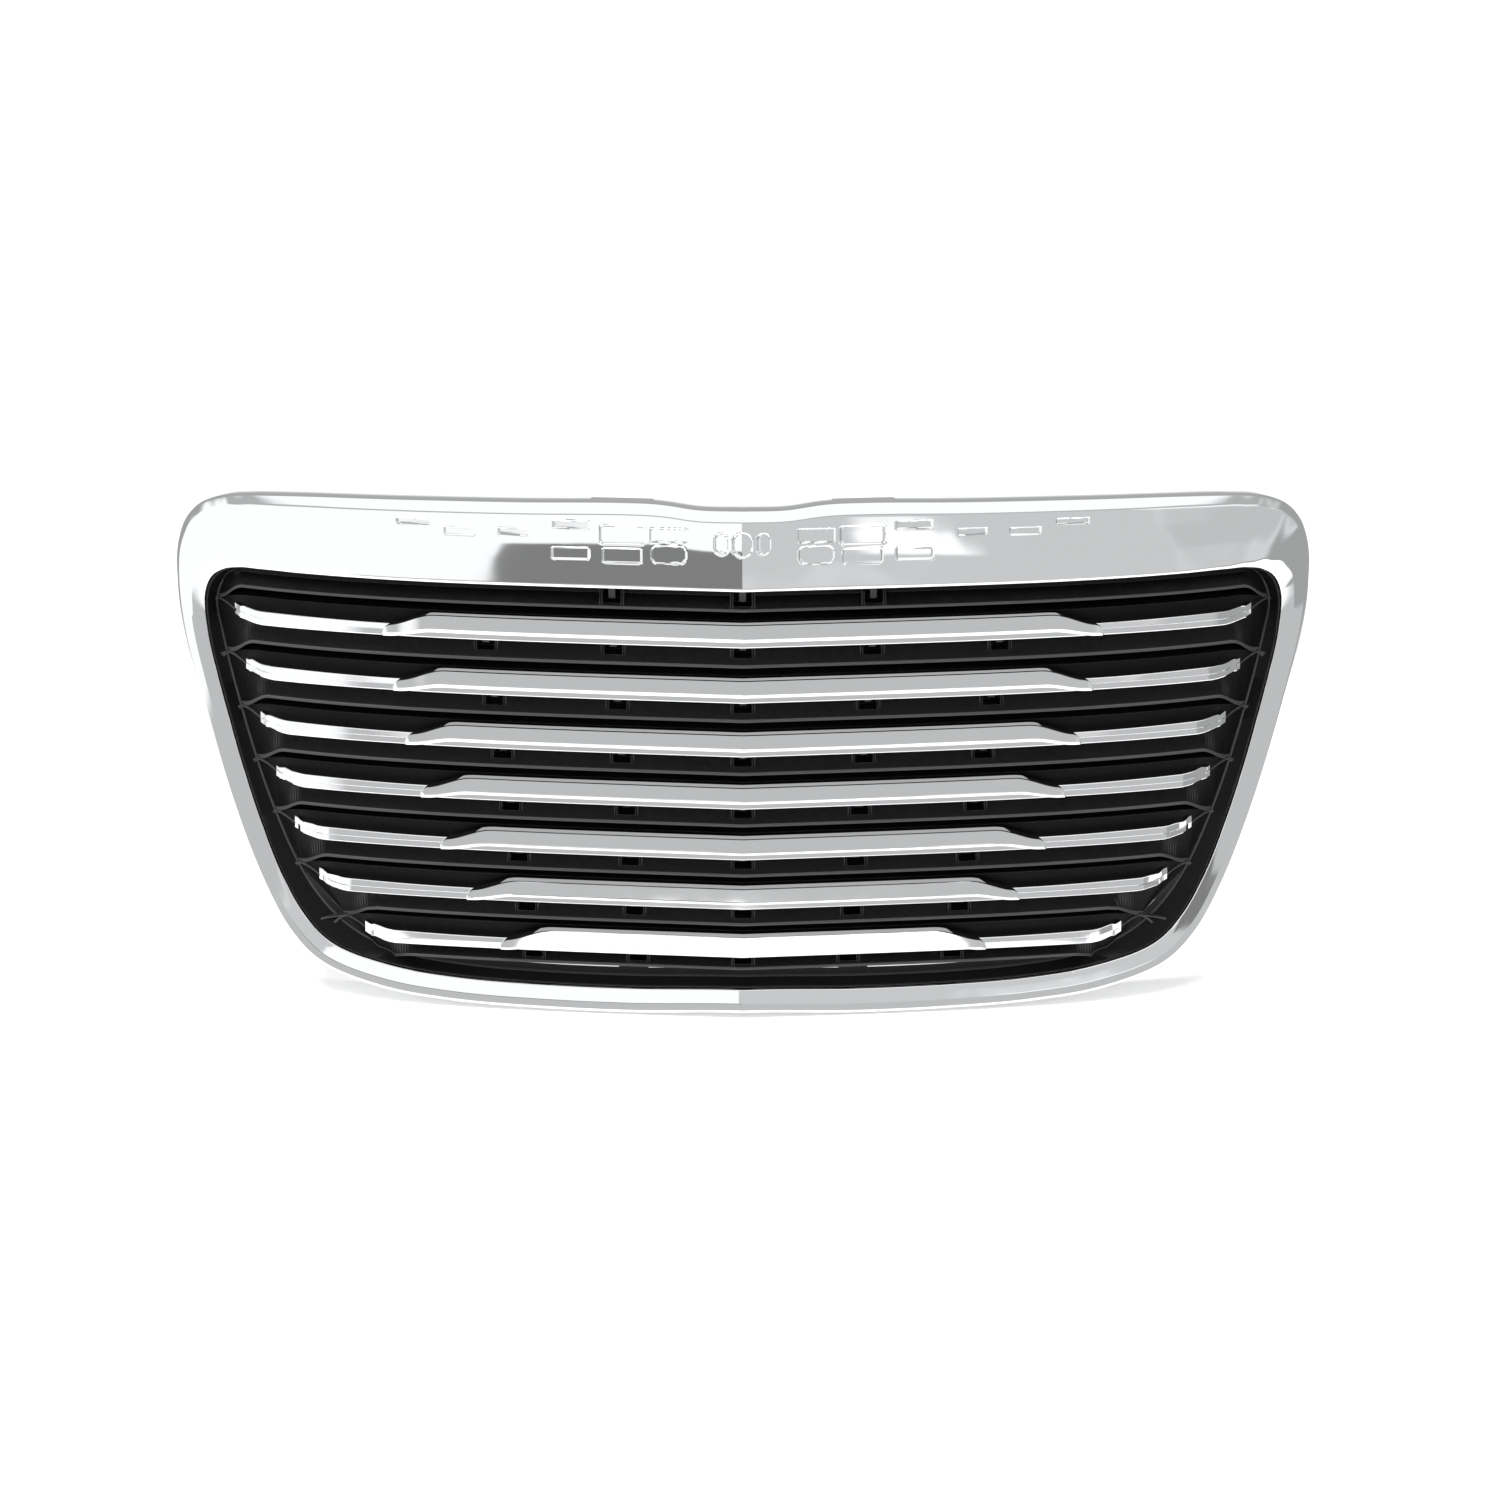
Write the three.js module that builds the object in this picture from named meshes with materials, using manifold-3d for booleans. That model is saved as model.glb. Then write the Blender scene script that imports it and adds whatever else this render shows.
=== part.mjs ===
// Front grille: a chromed surround, a black louver insert and seven chromed bars, with their screws
// and spring nuts. Millimetres, +Z up, X across the car, the front faces -Y.
// Everything follows one styling surface: a shallow V in plan whose crest (the prow) is at x = 0.
// A place on it is (x, z), and "offset" is how far back along +Y from it a point lies.
import * as THREE from "three";
import { mergeVertices } from "three/addons/utils/BufferGeometryUtils.js";
import Module from "manifold-3d";

const wasm = await Module();
wasm.setup();

// ---------------------------------------------------------------- driving dimensions

const PLAN_SLOPE = 0.107; // straight part of the V, mm back per mm outward
const PLAN_CURL = 1.3e-9; // fourth-power curl towards the ends
const PLAN_FLATTEN = 0.001; // the V flattens by this share per mm below FLATTEN_FROM
const FLATTEN_FROM = 90;
const PLAN_KNOTS = [0, 90, 170, 235, 290, 335, 372, 402, 428, 460];

const BAR_COUNT = 7;
const TOP_BAR_MIDDLE = 91;
const BAR_PITCH = 43.6; // pitch at the top, which closes up slightly further down
const PITCH_CLOSING = 0.14;
const BAR_HEIGHT = 15.6;
const THIN_BAR_HEIGHT = 10.4;
const WIDE_BAR_DROP = 1.7; // how far the wide part hangs below the middle of its row
const THIN_BAR_DROP = 4.2;
const THIN_BAR_SETBACK = 3;
const BAR_CREASE = 4.6; // height of the crease between main face and lower bevel
const BAR_DEPTH = 14.2;
const BAR_WALL = 2.2;
const SHOULDER_LENGTH = 39; // from the end of the wide part to the start of the thin part
const BAR_END_SHORT_OF_RIB = 18;

// Half width of the line of ribs that ends each louver, at bars 1 to 7 and at the bottom.
const RIB_HALF_WIDTHS = [419.5, 413, 404, 393.5, 381, 363, 326.5, 296];
const RIB_OFFSET = 22;
const LIP_BEND = 30; // how far short of the rib a louver lip starts to curve down
const TOP_IN_WALL = 0.9; // how far a louver's top and lip run into the side wall
const LIP_IN_WALL = 1.7;
const LIP_ABOVE_BAR = 16.7;
const BOTTOM_LIP_Z = -187.5;
const LIP_OFFSET = 3.5;
const LIP_HEIGHT = 1.6;
const SEAT_OFFSET = 14.5; // front of the wall that a bar sits against
const WALL_BELOW_BAR = 5.2; // how far that wall reaches below the bar's row
const SHELF_OFFSET = 34; // rear edge of each louver's shelf
const MOULDING = 3; // wall of the black moulding
const HEADER_UNDERSIDE = 121;

const SURROUND_REAR = 36;
const SURROUND_WALL = 2.7;
const HEADER_FLOOR_DEPTH = 1.3; // depth of the badge pockets in the header

const TAB_PITCH = 98; // spacing of the bars' snap tabs, at the top bar
const TAB_PITCH_CLOSING = 2.3;
const TAB_WIDTH = 5;
const WINDOW_WIDTH = 14;
const WINDOW_HEIGHT = 12.4;
const LIP_MARGIN = 3; // a window stops this far above the middle of the lip
const WINDOW_REAR = 22.5; // the windows end at the rear wall of a closed housing
const HOUSING_WALL = 2;

const SCREW_SHANK_R = 1.5;
const SCREW_HEAD_R = 4;
const SCREW_HEAD_HEIGHT = 2.4;
const PILOT_R = 1.8;
const CLEARANCE_R = 2.3;
const BOSS_R = 3.5;
const FLANGE_FRONT = 12; // offset of the insert's perimeter flange
const FLANGE_WIDTH = 9;
const BOSS_FROM_EDGE = 5.5; // boss centres, outward from the surround's inner edge
const GAP = 0.3;
const FLANGE_SEAT = FLANGE_FRONT + MOULDING; // the screws' seats on the back of the insert
const WALL_SEAT = SEAT_OFFSET + MOULDING;
const SCREW_LENGTH = 8;
const HEAD_GAP = 0.5;

const TOP_TAB_XS = [110, 290];
const TOP_TAB = { width: 30, rear: 60, thickness: 3, z: 172, holeR: 3.4 };
const TOP_TAB_HOLE_IN = 12; // the hole's distance from the tab's rear edge
const LOWER_TAB_XS = [90, 215];
const LOWER_TAB = { width: 24, rear: 54, thickness: 3, holeR: 2.6 };

// Half of the perimeter from the top centre, clockwise: the surround's outer and inner edges, the
// line where the insert's side wall meets the ribs, and how much of the surround's section is
// header (1) or side rail (0).
const STATIONS = [
  { outer: [0, 180.2], inner: [0, 123], rib: [0, 118], header: 1 },
  { outer: [31, 180.2], inner: [31, 123], rib: [31, 118], header: 1 },
  { outer: [66, 184], inner: [66, 123], rib: [66, 118], header: 1 },
  { outer: [170, 182.7], inner: [170, 123], rib: [170, 118], header: 1 },
  { outer: [235, 181.8], inner: [235, 123], rib: [235, 118], header: 1 },
  { outer: [290, 180.8], inner: [290, 123.2], rib: [290, 118], header: 1 },
  { outer: [335, 179.6], inner: [335, 123.4], rib: [335, 118.2], header: 1 },
  { outer: [384, 176.8], inner: [372, 123.6], rib: [372, 118.5], header: 0.97 },
  { outer: [408, 173.4], inner: [392, 122.8], rib: [389, 117.6], header: 0.88 },
  { outer: [429, 165], inner: [407, 118.8], rib: [401, 114.5], header: 0.66 },
  { outer: [443, 149], inner: [418, 111], rib: [411, 107.5], header: 0.4 },
  { outer: [450, 122], inner: [425.5, 96.5], rib: [419.5, 90], header: 0.15 },
  { outer: [448.5, 75], inner: [426, 66], rib: [416.5, 62], header: 0 },
  { outer: [435, 9.5], inner: [415, 8], rib: [405, 5], header: 0 },
  { outer: [415, -71], inner: [396.5, -68], rib: [385, -70], header: 0 },
  { outer: [393.5, -135], inner: [376, -130], rib: [361, -130], header: 0 },
  { outer: [373, -176], inner: [358, -164], rib: [340, -160], header: 0 },
  { outer: [348, -201], inner: [337, -185], rib: [315, -180], header: 0 },
  { outer: [296, -219], inner: [290, -200], rib: [278, -194.5], header: 0 },
  { outer: [235, -226.5], inner: [234, -207], rib: [230, -201], header: 0 },
  { outer: [170, -229.2], inner: [170, -209.7], rib: [170, -203.8], header: 0 },
  { outer: [90, -230], inner: [90, -210.3], rib: [90, -204.3], header: 0 },
  { outer: [0, -227], inner: [0, -208], rib: [0, -202], header: 0 },
];

// Badge pockets in the header: place, width and height. Those off the centre come in pairs.
const SQUARE_POCKETS = [
  [248, 166.5, 26, 4.5], [211.5, 161, 24, 5.5], [171, 162, 22, 5], [127.5, 168, 27, 6],
  [89, 162, 34, 13], [54.5, 162.2, 28, 10], [54.5, 148.5, 26, 13], [89, 147, 30, 11],
  [128, 148, 28, 9],
];
const OVAL_POCKETS = [[0, 156.5, 15.4, 17.6], [15.6, 157, 9.5, 15.4], [-15.6, 157, 9.5, 15.4]];

// ---------------------------------------------------------------- materials

const CHROME = { color: 0xd9dbdd, roughness: 0.06, metalness: 1 };
const BLACK_PLASTIC = { color: 0x101112, roughness: 0.5, metalness: 0 };
const ZINC = { color: 0xb3b5b4, roughness: 0.35, metalness: 1 };
const SPRING_STEEL = { color: 0x55565a, roughness: 0.4, metalness: 1 };

// ---------------------------------------------------------------- styling surface

function planDepth(x) {
  const ax = Math.abs(x);
  return PLAN_SLOPE * ax + PLAN_CURL * ax ** 4;
}

// Depth of the styling surface behind the prow. It is faceted in plan at PLAN_KNOTS, so that
// neighbouring pieces share the same facets and keep their gaps.
function surfaceY(x, z) {
  const ax = Math.abs(x);
  let i = 1;
  while (i < PLAN_KNOTS.length - 1 && PLAN_KNOTS[i] < ax) i += 1;
  const [x0, x1] = [PLAN_KNOTS[i - 1], PLAN_KNOTS[i]];
  const depth = THREE.MathUtils.mapLinear(ax, x0, x1, planDepth(x0), planDepth(x1));
  return depth * (1 - PLAN_FLATTEN * (FLATTEN_FROM - z));
}

const onSurface = (x, z, offset) => new THREE.Vector3(x, surfaceY(x, z) + offset, z);

// A frame on the surface: local +Z points out of the front, local +X along the surface.
function frameAt(x, z, offset, lean = 0) {
  const along = onSurface(x + 2, z, 0).sub(onSurface(x - 2, z, 0)).normalize();
  const up = new THREE.Vector3(0, lean, 1).normalize();
  const out = new THREE.Vector3().crossVectors(along, up).normalize();
  up.crossVectors(out, along);
  const frame = new THREE.Matrix4().makeBasis(along, up, out);
  return frame.setPosition(onSurface(x, z, offset));
}

// ---------------------------------------------------------------- geometry helpers

// Joins equal sections point to point. A ring closes on itself; otherwise the ends are capped.
function loft(sections, isRing = false) {
  const count = sections[0].length;
  const positions = sections.flat().flatMap((p) => [p.x, p.y, p.z]);
  const index = [];
  const spans = isRing ? sections.length : sections.length - 1;
  for (let s = 0; s < spans; s += 1) {
    const a = s * count;
    const b = ((s + 1) % sections.length) * count;
    for (let i = 0; i < count; i += 1) {
      const j = (i + 1) % count;
      index.push(a + i, b + i, b + j, a + i, b + j, a + j);
    }
  }
  if (!isRing) {
    const flat = (section) => section.map((p) => new THREE.Vector2(p.y, p.z));
    const last = (sections.length - 1) * count;
    for (const [a, b, c] of THREE.ShapeUtils.triangulateShape(flat(sections[0]), [])) {
      index.push(a, b, c);
    }
    for (const [a, b, c] of THREE.ShapeUtils.triangulateShape(flat(sections.at(-1)), [])) {
      index.push(last + a, last + c, last + b);
    }
  }
  const geometry = new THREE.BufferGeometry();
  geometry.setAttribute("position", new THREE.Float32BufferAttribute(positions, 3));
  geometry.setIndex(index);
  return geometry;
}

// A closed geometry as a manifold-3d solid, turned to face outwards if it doesn't.
function solid(geometry) {
  const bare = geometry.clone();
  bare.deleteAttribute("normal");
  bare.deleteAttribute("uv");
  const merged = mergeVertices(bare, 1e-4);
  const make = (triVerts) =>
    new wasm.Manifold(
      new wasm.Mesh({ numProp: 3, vertProperties: merged.attributes.position.array, triVerts }),
    );
  const triVerts = new Uint32Array(merged.index.array);
  const made = make(triVerts);
  return made.volume() > 0 ? made : make(triVerts.reverse());
}

function geometryOf(made) {
  const mesh = made.getMesh();
  const geometry = new THREE.BufferGeometry();
  geometry.setAttribute("position", new THREE.Float32BufferAttribute(mesh.vertProperties, 3));
  geometry.setIndex([...mesh.triVerts]);
  return geometry;
}

// A box between two corners given as [x, offset, z], swung with the surface at its middle.
function blockAt(x, z, width, height, front, rear) {
  const geometry = new THREE.BoxGeometry(width, height, rear - front);
  geometry.translate(0, 0, -(front + rear) / 2);
  return solid(geometry.applyMatrix4(frameAt(x, z, 0)));
}

// A box square to the car's axes.
function squareBlock(x, y, z, width, depth, height) {
  return solid(new THREE.BoxGeometry(width, depth, height).translate(x, y, z));
}

// A cylinder along a surface frame's own Z axis, between two distances in front of its origin.
function postIn(frame, radius, from, to, sides = 8) {
  const geometry = new THREE.CylinderGeometry(radius, radius, to - from, sides);
  geometry.rotateX(Math.PI / 2).translate(0, 0, (from + to) / 2);
  return solid(geometry.applyMatrix4(frame));
}

// A step along Y as a distance square to the surface.
function squareStep(x, z, step) {
  const along = onSurface(x + 2, z, 0).sub(onSurface(x - 2, z, 0)).normalize();
  return step * Math.abs(along.x);
}

const joined = (solids) => solids.reduce((a, b) => a.add(b));
const cut = (from, tools) => tools.reduce((a, b) => a.subtract(b), from);
const bothSides = (values) => values.flatMap((v) => (v === 0 ? [0] : [-v, v]));

// ---------------------------------------------------------------- places

// Middle height of bar n, counted from 0 at the top.
const barMiddle = (n) => TOP_BAR_MIDDLE - BAR_PITCH * n + PITCH_CLOSING * n * n;
const barTop = (n) => barMiddle(n) + BAR_HEIGHT / 2;
const barBottom = (n) => barMiddle(n) - BAR_HEIGHT / 2;
const barEnd = (n) => RIB_HALF_WIDTHS[n] - BAR_END_SHORT_OF_RIB;
const wideHalf = (n) => 237 - 5.5 * n - 0.22 * n ** 3;
const tabXs = (n, pairs) =>
  bothSides([0, 1, 2].slice(0, pairs + 1).map((i) => i * (TAB_PITCH - TAB_PITCH_CLOSING * n)));

const lipMiddle = (n) => (n === BAR_COUNT ? BOTTOM_LIP_Z : barMiddle(n) + LIP_ABOVE_BAR);

// Half widths at which a long piece needs a section: the plan's knots and the piece's own places.
function sectionXs(own, end) {
  const half = [...PLAN_KNOTS.filter((x) => x > 0 && x < end - 4), ...own, end];
  half.sort((a, b) => a - b);
  const spaced = half.filter((x, i) => i === half.length - 1 || half[i + 1] - x > 2.5);
  return [...spaced.map((x) => -x).reverse(), 0, ...spaced];
}

// Where the twelve surround screws go: a station number and a share of the way to the next one.
const SCREW_PLACES = [[2, 0.5], [6, 0.3], [12, 0.15], [13, 0.2], [15, 0.1], [18, 0.4]];

function stationBetween(line, [index, share]) {
  const [a, b] = [line[index], line[index + 1]];
  return [THREE.MathUtils.lerp(a[0], b[0], share), THREE.MathUtils.lerp(a[1], b[1], share)];
}

// Centres of the surround's screw bosses, outward from its inner edge.
function bossPlaces() {
  const places = [];
  for (const place of SCREW_PLACES) {
    const inner = stationBetween(STATIONS.map((s) => s.inner), place);
    const outer = stationBetween(STATIONS.map((s) => s.outer), place);
    const width = Math.hypot(outer[0] - inner[0], outer[1] - inner[1]);
    const x = inner[0] + ((outer[0] - inner[0]) * BOSS_FROM_EDGE) / width;
    const z = inner[1] + ((outer[1] - inner[1]) * BOSS_FROM_EDGE) / width;
    places.push([x, z], [-x, z]);
  }
  return places;
}

// ---------------------------------------------------------------- screwed joints

// Each screw's axis is square to the surface through its seat, and what it passes is placed on it.
const screwAxis = (x, z, seat) => frameAt(x, z, seat);

function screwBoss(x, z, seat, front) {
  const from = squareStep(x, z, MOULDING + GAP);
  return postIn(screwAxis(x, z, seat), BOSS_R, from, squareStep(x, z, seat - front));
}

const screwPilot = (x, z, seat) => postIn(screwAxis(x, z, seat), PILOT_R, 0, SCREW_LENGTH + 0.5);
const screwHole = (x, z, seat) => postIn(screwAxis(x, z, seat), CLEARANCE_R, -2, MOULDING + 0.2);

// ---------------------------------------------------------------- chromed surround

// Surround section as [share of the way from outer to inner edge, offset, mm inward]: the header
// leans back at its top, the rail has a flat outer band, a crease and an inner bevel.
const HEADER_SECTION = [
  [0, SURROUND_REAR, 0], [0, 21.5, 0], [0, 20, 1], [0.13, 14.5, 0], [0.5, 6.5, 0],
  [0.94, 0.4, 0], [1, 0.8, 0], [1, 4, 0], [0.92, 3.6, 0], [0.5, 9.5, 0], [0.15, 17.5, 0],
  [0, 24.5, SURROUND_WALL], [0, SURROUND_REAR, SURROUND_WALL],
];
const RAIL_SECTION = [
  [0, SURROUND_REAR, 0], [0, 8, 0], [0, 5.8, 0.8], [0.14, 4.4, 0], [0.55, 1.2, 0],
  [0.62, 0.6, 0], [0.98, 5, 0], [1, 8.2, 0], [0.9, 8, 0], [0.62, 4.2, 0], [0.35, 5.6, 0],
  [0, 9.5, SURROUND_WALL], [0, SURROUND_REAR, SURROUND_WALL],
];

function surroundSection({ outer, inner, header }, side) {
  const width = Math.hypot(outer[0] - inner[0], outer[1] - inner[1]);
  return HEADER_SECTION.map((point, i) => {
    const mix = (k) => THREE.MathUtils.lerp(RAIL_SECTION[i][k], point[k], header);
    const share = mix(0) + mix(2) / width;
    const x = THREE.MathUtils.lerp(outer[0], inner[0], share);
    const z = THREE.MathUtils.lerp(outer[1], inner[1], share);
    return onSurface(side * x, z, mix(1));
  });
}

// Both halves of a ring whose first and last stations lie on the centre plane.
function ringSections(stations, makeSection) {
  const right = stations.map((station) => makeSection(station, 1));
  const left = stations.slice(1, -1).map((station) => makeSection(station, -1));
  return [...right, ...left.reverse()];
}

const headerOffset = (z) => 14 * THREE.MathUtils.clamp((z - 124) / 52, 0, 1) ** 1.3;
const headerLean = (z) => headerOffset(z + 1) - headerOffset(z);

function pocketTool([x, z, width, height], geometry) {
  geometry.scale(width, height, 1);
  return solid(geometry.applyMatrix4(frameAt(x, z, headerOffset(z), headerLean(z))));
}

function badgePockets() {
  const square = () => new THREE.BoxGeometry(1, 1, 2 * HEADER_FLOOR_DEPTH);
  const oval = () =>
    new THREE.CylinderGeometry(0.5, 0.5, 2 * HEADER_FLOOR_DEPTH, 14).rotateX(Math.PI / 2);
  const pairs = SQUARE_POCKETS.flatMap(([x, ...rest]) => [[x, ...rest], [-x, ...rest]]);
  return [
    ...pairs.map((pocket) => pocketTool(pocket, square())),
    ...OVAL_POCKETS.map((pocket) => pocketTool(pocket, oval())),
  ];
}

// A prism across the surface at x: its outline is [offset, height above z] pairs.
function prismAt(x, z, width, outline) {
  const shape = new THREE.Shape(outline.map(([offset, height]) => new THREE.Vector2(offset, height)));
  const geometry = new THREE.ExtrudeGeometry(shape, { depth: width, bevelEnabled: false });
  const turn = new THREE.Matrix4().makeBasis(
    new THREE.Vector3(0, 0, -1), new THREE.Vector3(0, 1, 0), new THREE.Vector3(1, 0, 0),
  );
  geometry.translate(0, 0, -width / 2).applyMatrix4(turn).applyMatrix4(frameAt(x, z, 0));
  return solid(geometry);
}

// The hook of a snap tab that hangs through its window in the louver below.
const TAB_HOOK = [[11.4, -8], [19.4, -8], [19.4, -5.6], [13.9, -5.6]];
const barTab = (x, z) => prismAt(x, z, TAB_WIDTH, [[11.4, 1.4], ...TAB_HOOK, [13.9, 1.4]]);

// The header's tabs have an arm back from its face.
const headerTab = (x) =>
  prismAt(x, HEADER_UNDERSIDE, TAB_WIDTH, [
    [2.6, 4], [11.4, 4], ...TAB_HOOK, [13.9, 6.4], [2.9, 6.4],
  ]);

// Height of the surround's top edge.
function topEdgeZ(x) {
  const i = STATIONS.findIndex(({ outer }) => outer[0] > Math.abs(x));
  const [a, b] = [STATIONS[i - 1].outer, STATIONS[i].outer];
  return THREE.MathUtils.mapLinear(Math.abs(x), a[0], b[0], a[1], b[1]);
}

// A plate behind the header on a riser from its top wall, with a hole for the fixing.
function topTab(x) {
  const { width, rear, thickness, z, holeR } = TOP_TAB;
  const front = surfaceY(x, z) + SURROUND_REAR - 9;
  const back = surfaceY(x, z) + rear;
  const riserTop = topEdgeZ(x) - 1.2;
  const plate = squareBlock(x, (front + back) / 2, z, width, back - front, thickness);
  const riser = squareBlock(x, front + 1.4, (z + riserTop) / 2, width, 2.8, riserTop - z);
  const hole = new THREE.CylinderGeometry(holeR, holeR, 20, 12).rotateX(Math.PI / 2);
  return cut(plate.add(riser), [solid(hole.translate(x, back - TOP_TAB_HOLE_IN, z))]);
}

function chromeSurround() {
  const shell = solid(loft(ringSections(STATIONS, surroundSection), true));
  const bosses = bossPlaces().map(([x, z]) => screwBoss(x, z, FLANGE_SEAT, 3.6));
  const pilots = bossPlaces().map(([x, z]) => screwPilot(x, z, FLANGE_SEAT));
  const snapTabs = tabXs(0, 1).map(headerTab);
  const topTabs = bothSides(TOP_TAB_XS).map(topTab);
  const body = joined([shell, ...bosses, ...snapTabs, ...topTabs]);
  return cut(body, [...pilots, ...badgePockets()]);
}

// ---------------------------------------------------------------- black louver insert

// Perimeter: a flange behind the surround's inner edge and the side wall down to the ribs.
function insertRing() {
  return loft(
    ringSections(STATIONS, ({ outer, inner, rib }, side) => {
      const width = Math.hypot(outer[0] - inner[0], outer[1] - inner[1]);
      const out = [(outer[0] - inner[0]) / width, (outer[1] - inner[1]) / width];
      const at = ([x, z], outward, offset) =>
        onSurface(side * (x + out[0] * outward), z + out[1] * outward, offset);
      return [
        at(inner, FLANGE_WIDTH, FLANGE_FRONT),
        at(inner, 0.5, FLANGE_FRONT),
        at(inner, -0.8, 10),
        at(rib, 0, RIB_OFFSET),
        at(rib, 0, SHELF_OFFSET),
        at(rib, MOULDING, SHELF_OFFSET),
        at(rib, MOULDING, RIB_OFFSET + 2),
        at(inner, 1.5, FLANGE_FRONT + MOULDING),
        at(inner, FLANGE_WIDTH, FLANGE_FRONT + MOULDING),
      ];
    }),
    true,
  );
}

// Where louver n's top edge and lip end at the ribs; louver 0 is the one under the header.
function louverEnds(n) {
  const top = n === 0 ? { x: 416, z: 117 } : { x: RIB_HALF_WIDTHS[n - 1], z: barMiddle(n - 1) };
  const lip = { x: RIB_HALF_WIDTHS[n], z: n === BAR_COUNT ? -200 : barMiddle(n) };
  return { top, lip };
}

// Louver n: the wall behind its bar, the apron that slopes forward to the lip, and the shelf.
function louver(n) {
  const { top, lip } = louverEnds(n);
  const topZ = n === 0 ? HEADER_UNDERSIDE - 0.8 : barTop(n - 1) - 0.8;
  const wallZ = n === 0 ? HEADER_UNDERSIDE - 4 : barBottom(n - 1) - WALL_BELOW_BAR;
  const lipZ = lipMiddle(n);
  const own = [lip.x - LIP_BEND, lip.x - LIP_BEND * 0.6, lip.x - LIP_BEND * 0.25];
  const end = Math.max(top.x + TOP_IN_WALL, lip.x + LIP_IN_WALL);
  const sections = sectionXs(own, end).map((x) => {
    const ax = Math.abs(x);
    const bend = (endX) => THREE.MathUtils.smoothstep(ax, endX - LIP_BEND, endX);
    const mixTop = (a, b) => THREE.MathUtils.lerp(a, b, bend(top.x));
    const mixLip = (a, b) => THREE.MathUtils.lerp(a, b, bend(lip.x));
    const topX = Math.sign(x) * Math.min(ax, top.x + TOP_IN_WALL);
    const lipX = Math.sign(x) * Math.min(ax, lip.x + LIP_IN_WALL);
    const seat = mixTop(SEAT_OFFSET, RIB_OFFSET);
    const lipOffset = mixLip(LIP_OFFSET, RIB_OFFSET);
    const t = mixTop(topZ, top.z + 2);
    const w = Math.min(mixTop(wallZ, top.z - 3), t - MOULDING - 0.5);
    const l = mixLip(lipZ, lip.z + 1);
    return [
      onSurface(topX, t, seat),
      onSurface(topX, w, seat),
      onSurface(lipX, l + LIP_HEIGHT / 2, lipOffset),
      onSurface(lipX, l - LIP_HEIGHT / 2, lipOffset),
      onSurface(lipX, l - LIP_HEIGHT / 2, lipOffset + MOULDING),
      onSurface(topX, w - 1, seat + MOULDING),
      onSurface(topX, t - MOULDING, seat + MOULDING),
      onSurface(topX, t - MOULDING, SHELF_OFFSET),
      onSurface(topX, t, SHELF_OFFSET),
    ];
  });
  return solid(loft(sections));
}

// The windows for the snap tabs, under the header (row 0) and under each bar.
function windowPlaces() {
  return Array.from({ length: BAR_COUNT + 1 }, (_, n) => {
    const top = n === 0 ? 128.5 : barBottom(n - 1) - 0.8;
    const full = (n === 0 ? HEADER_UNDERSIDE : barBottom(n - 1)) - WINDOW_HEIGHT - 0.8;
    const bottom = Math.max(full, lipMiddle(n) + LIP_MARGIN);
    return tabXs(Math.max(n - 1, 0), n === 0 ? 1 : 2).map((x) => ({ n, x, top, bottom }));
  }).flat();
}

const tabWindow = ({ x, top, bottom }) =>
  blockAt(x, (top + bottom) / 2, WINDOW_WIDTH, top - bottom, -2, WINDOW_REAR);

// Offset of the front of louver n at height z on its apron.
function apronOffset(n, z) {
  const wallZ = n === 0 ? HEADER_UNDERSIDE - 4 : barBottom(n - 1) - WALL_BELOW_BAR;
  const lipTop = lipMiddle(n) + LIP_HEIGHT / 2;
  return THREE.MathUtils.mapLinear(Math.min(z, wallZ), lipTop, wallZ, LIP_OFFSET, SEAT_OFFSET);
}

// The housing behind a window, which hides and guards the snap tab's hook.
function tabHousing({ n, x, top, bottom }) {
  const high = top + (n === 0 ? HOUSING_WALL : 0.4);
  const low = bottom - HOUSING_WALL;
  return prismAt(x, low, WINDOW_WIDTH + 2 * HOUSING_WALL, [
    [apronOffset(n, high) + 2.5, high - low], [apronOffset(n, low) + 2.5, 0],
    [WINDOW_REAR + HOUSING_WALL, 0], [WINDOW_REAR + HOUSING_WALL, high - low],
  ]);
}

// A web from each rib node out to the surround's inner edge.
function gusset(n, side) {
  const z = barMiddle(n);
  const x = RIB_HALF_WIDTHS[n];
  const reach = [9, 9, 11, 11, 14, 20, 22][n];
  const section = (px, drop) => [
    onSurface(side * px, z + 1 - drop, RIB_OFFSET - 1),
    onSurface(side * px, z - 1 - drop, RIB_OFFSET - 1),
    onSurface(side * px, z - 1 - drop, SHELF_OFFSET - 4),
    onSurface(side * px, z + 1 - drop, SHELF_OFFSET - 4),
  ];
  return solid(loft([section(x - 2, 0), section(x + reach, reach * 0.8)]));
}

function lowerTab(x) {
  const z = -206;
  const front = surfaceY(x, z) + RIB_OFFSET + 2;
  const rear = surfaceY(x, z) + LOWER_TAB.rear;
  const { width, thickness, holeR } = LOWER_TAB;
  const plate = squareBlock(x, (front + rear) / 2, z, width, rear - front, thickness);
  const hole = new THREE.CylinderGeometry(holeR, holeR, 20, 12).rotateX(Math.PI / 2);
  return cut(plate, [solid(hole.translate(x, rear - 8, z))]);
}

function louverInsert() {
  const louvers = Array.from({ length: BAR_COUNT + 1 }, (_, n) => louver(n));
  const gussets = bothSides([1]).flatMap((side) =>
    Array.from({ length: BAR_COUNT }, (_, n) => gusset(n, side)),
  );
  const tabs = bothSides(LOWER_TAB_XS).map(lowerTab);
  const housings = windowPlaces().map(tabHousing);
  const body = joined([solid(insertRing()), ...louvers, ...housings, ...gussets, ...tabs]);
  const flangeHoles = bossPlaces().map(([x, z]) => screwHole(x, z, FLANGE_SEAT));
  const seatHoles = barScrewPlaces().map(([x, z]) => screwHole(x, z, WALL_SEAT));
  return cut(body, [...windowPlaces().map(tabWindow), ...flangeHoles, ...seatHoles]);
}

// ---------------------------------------------------------------- chromed bars

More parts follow.
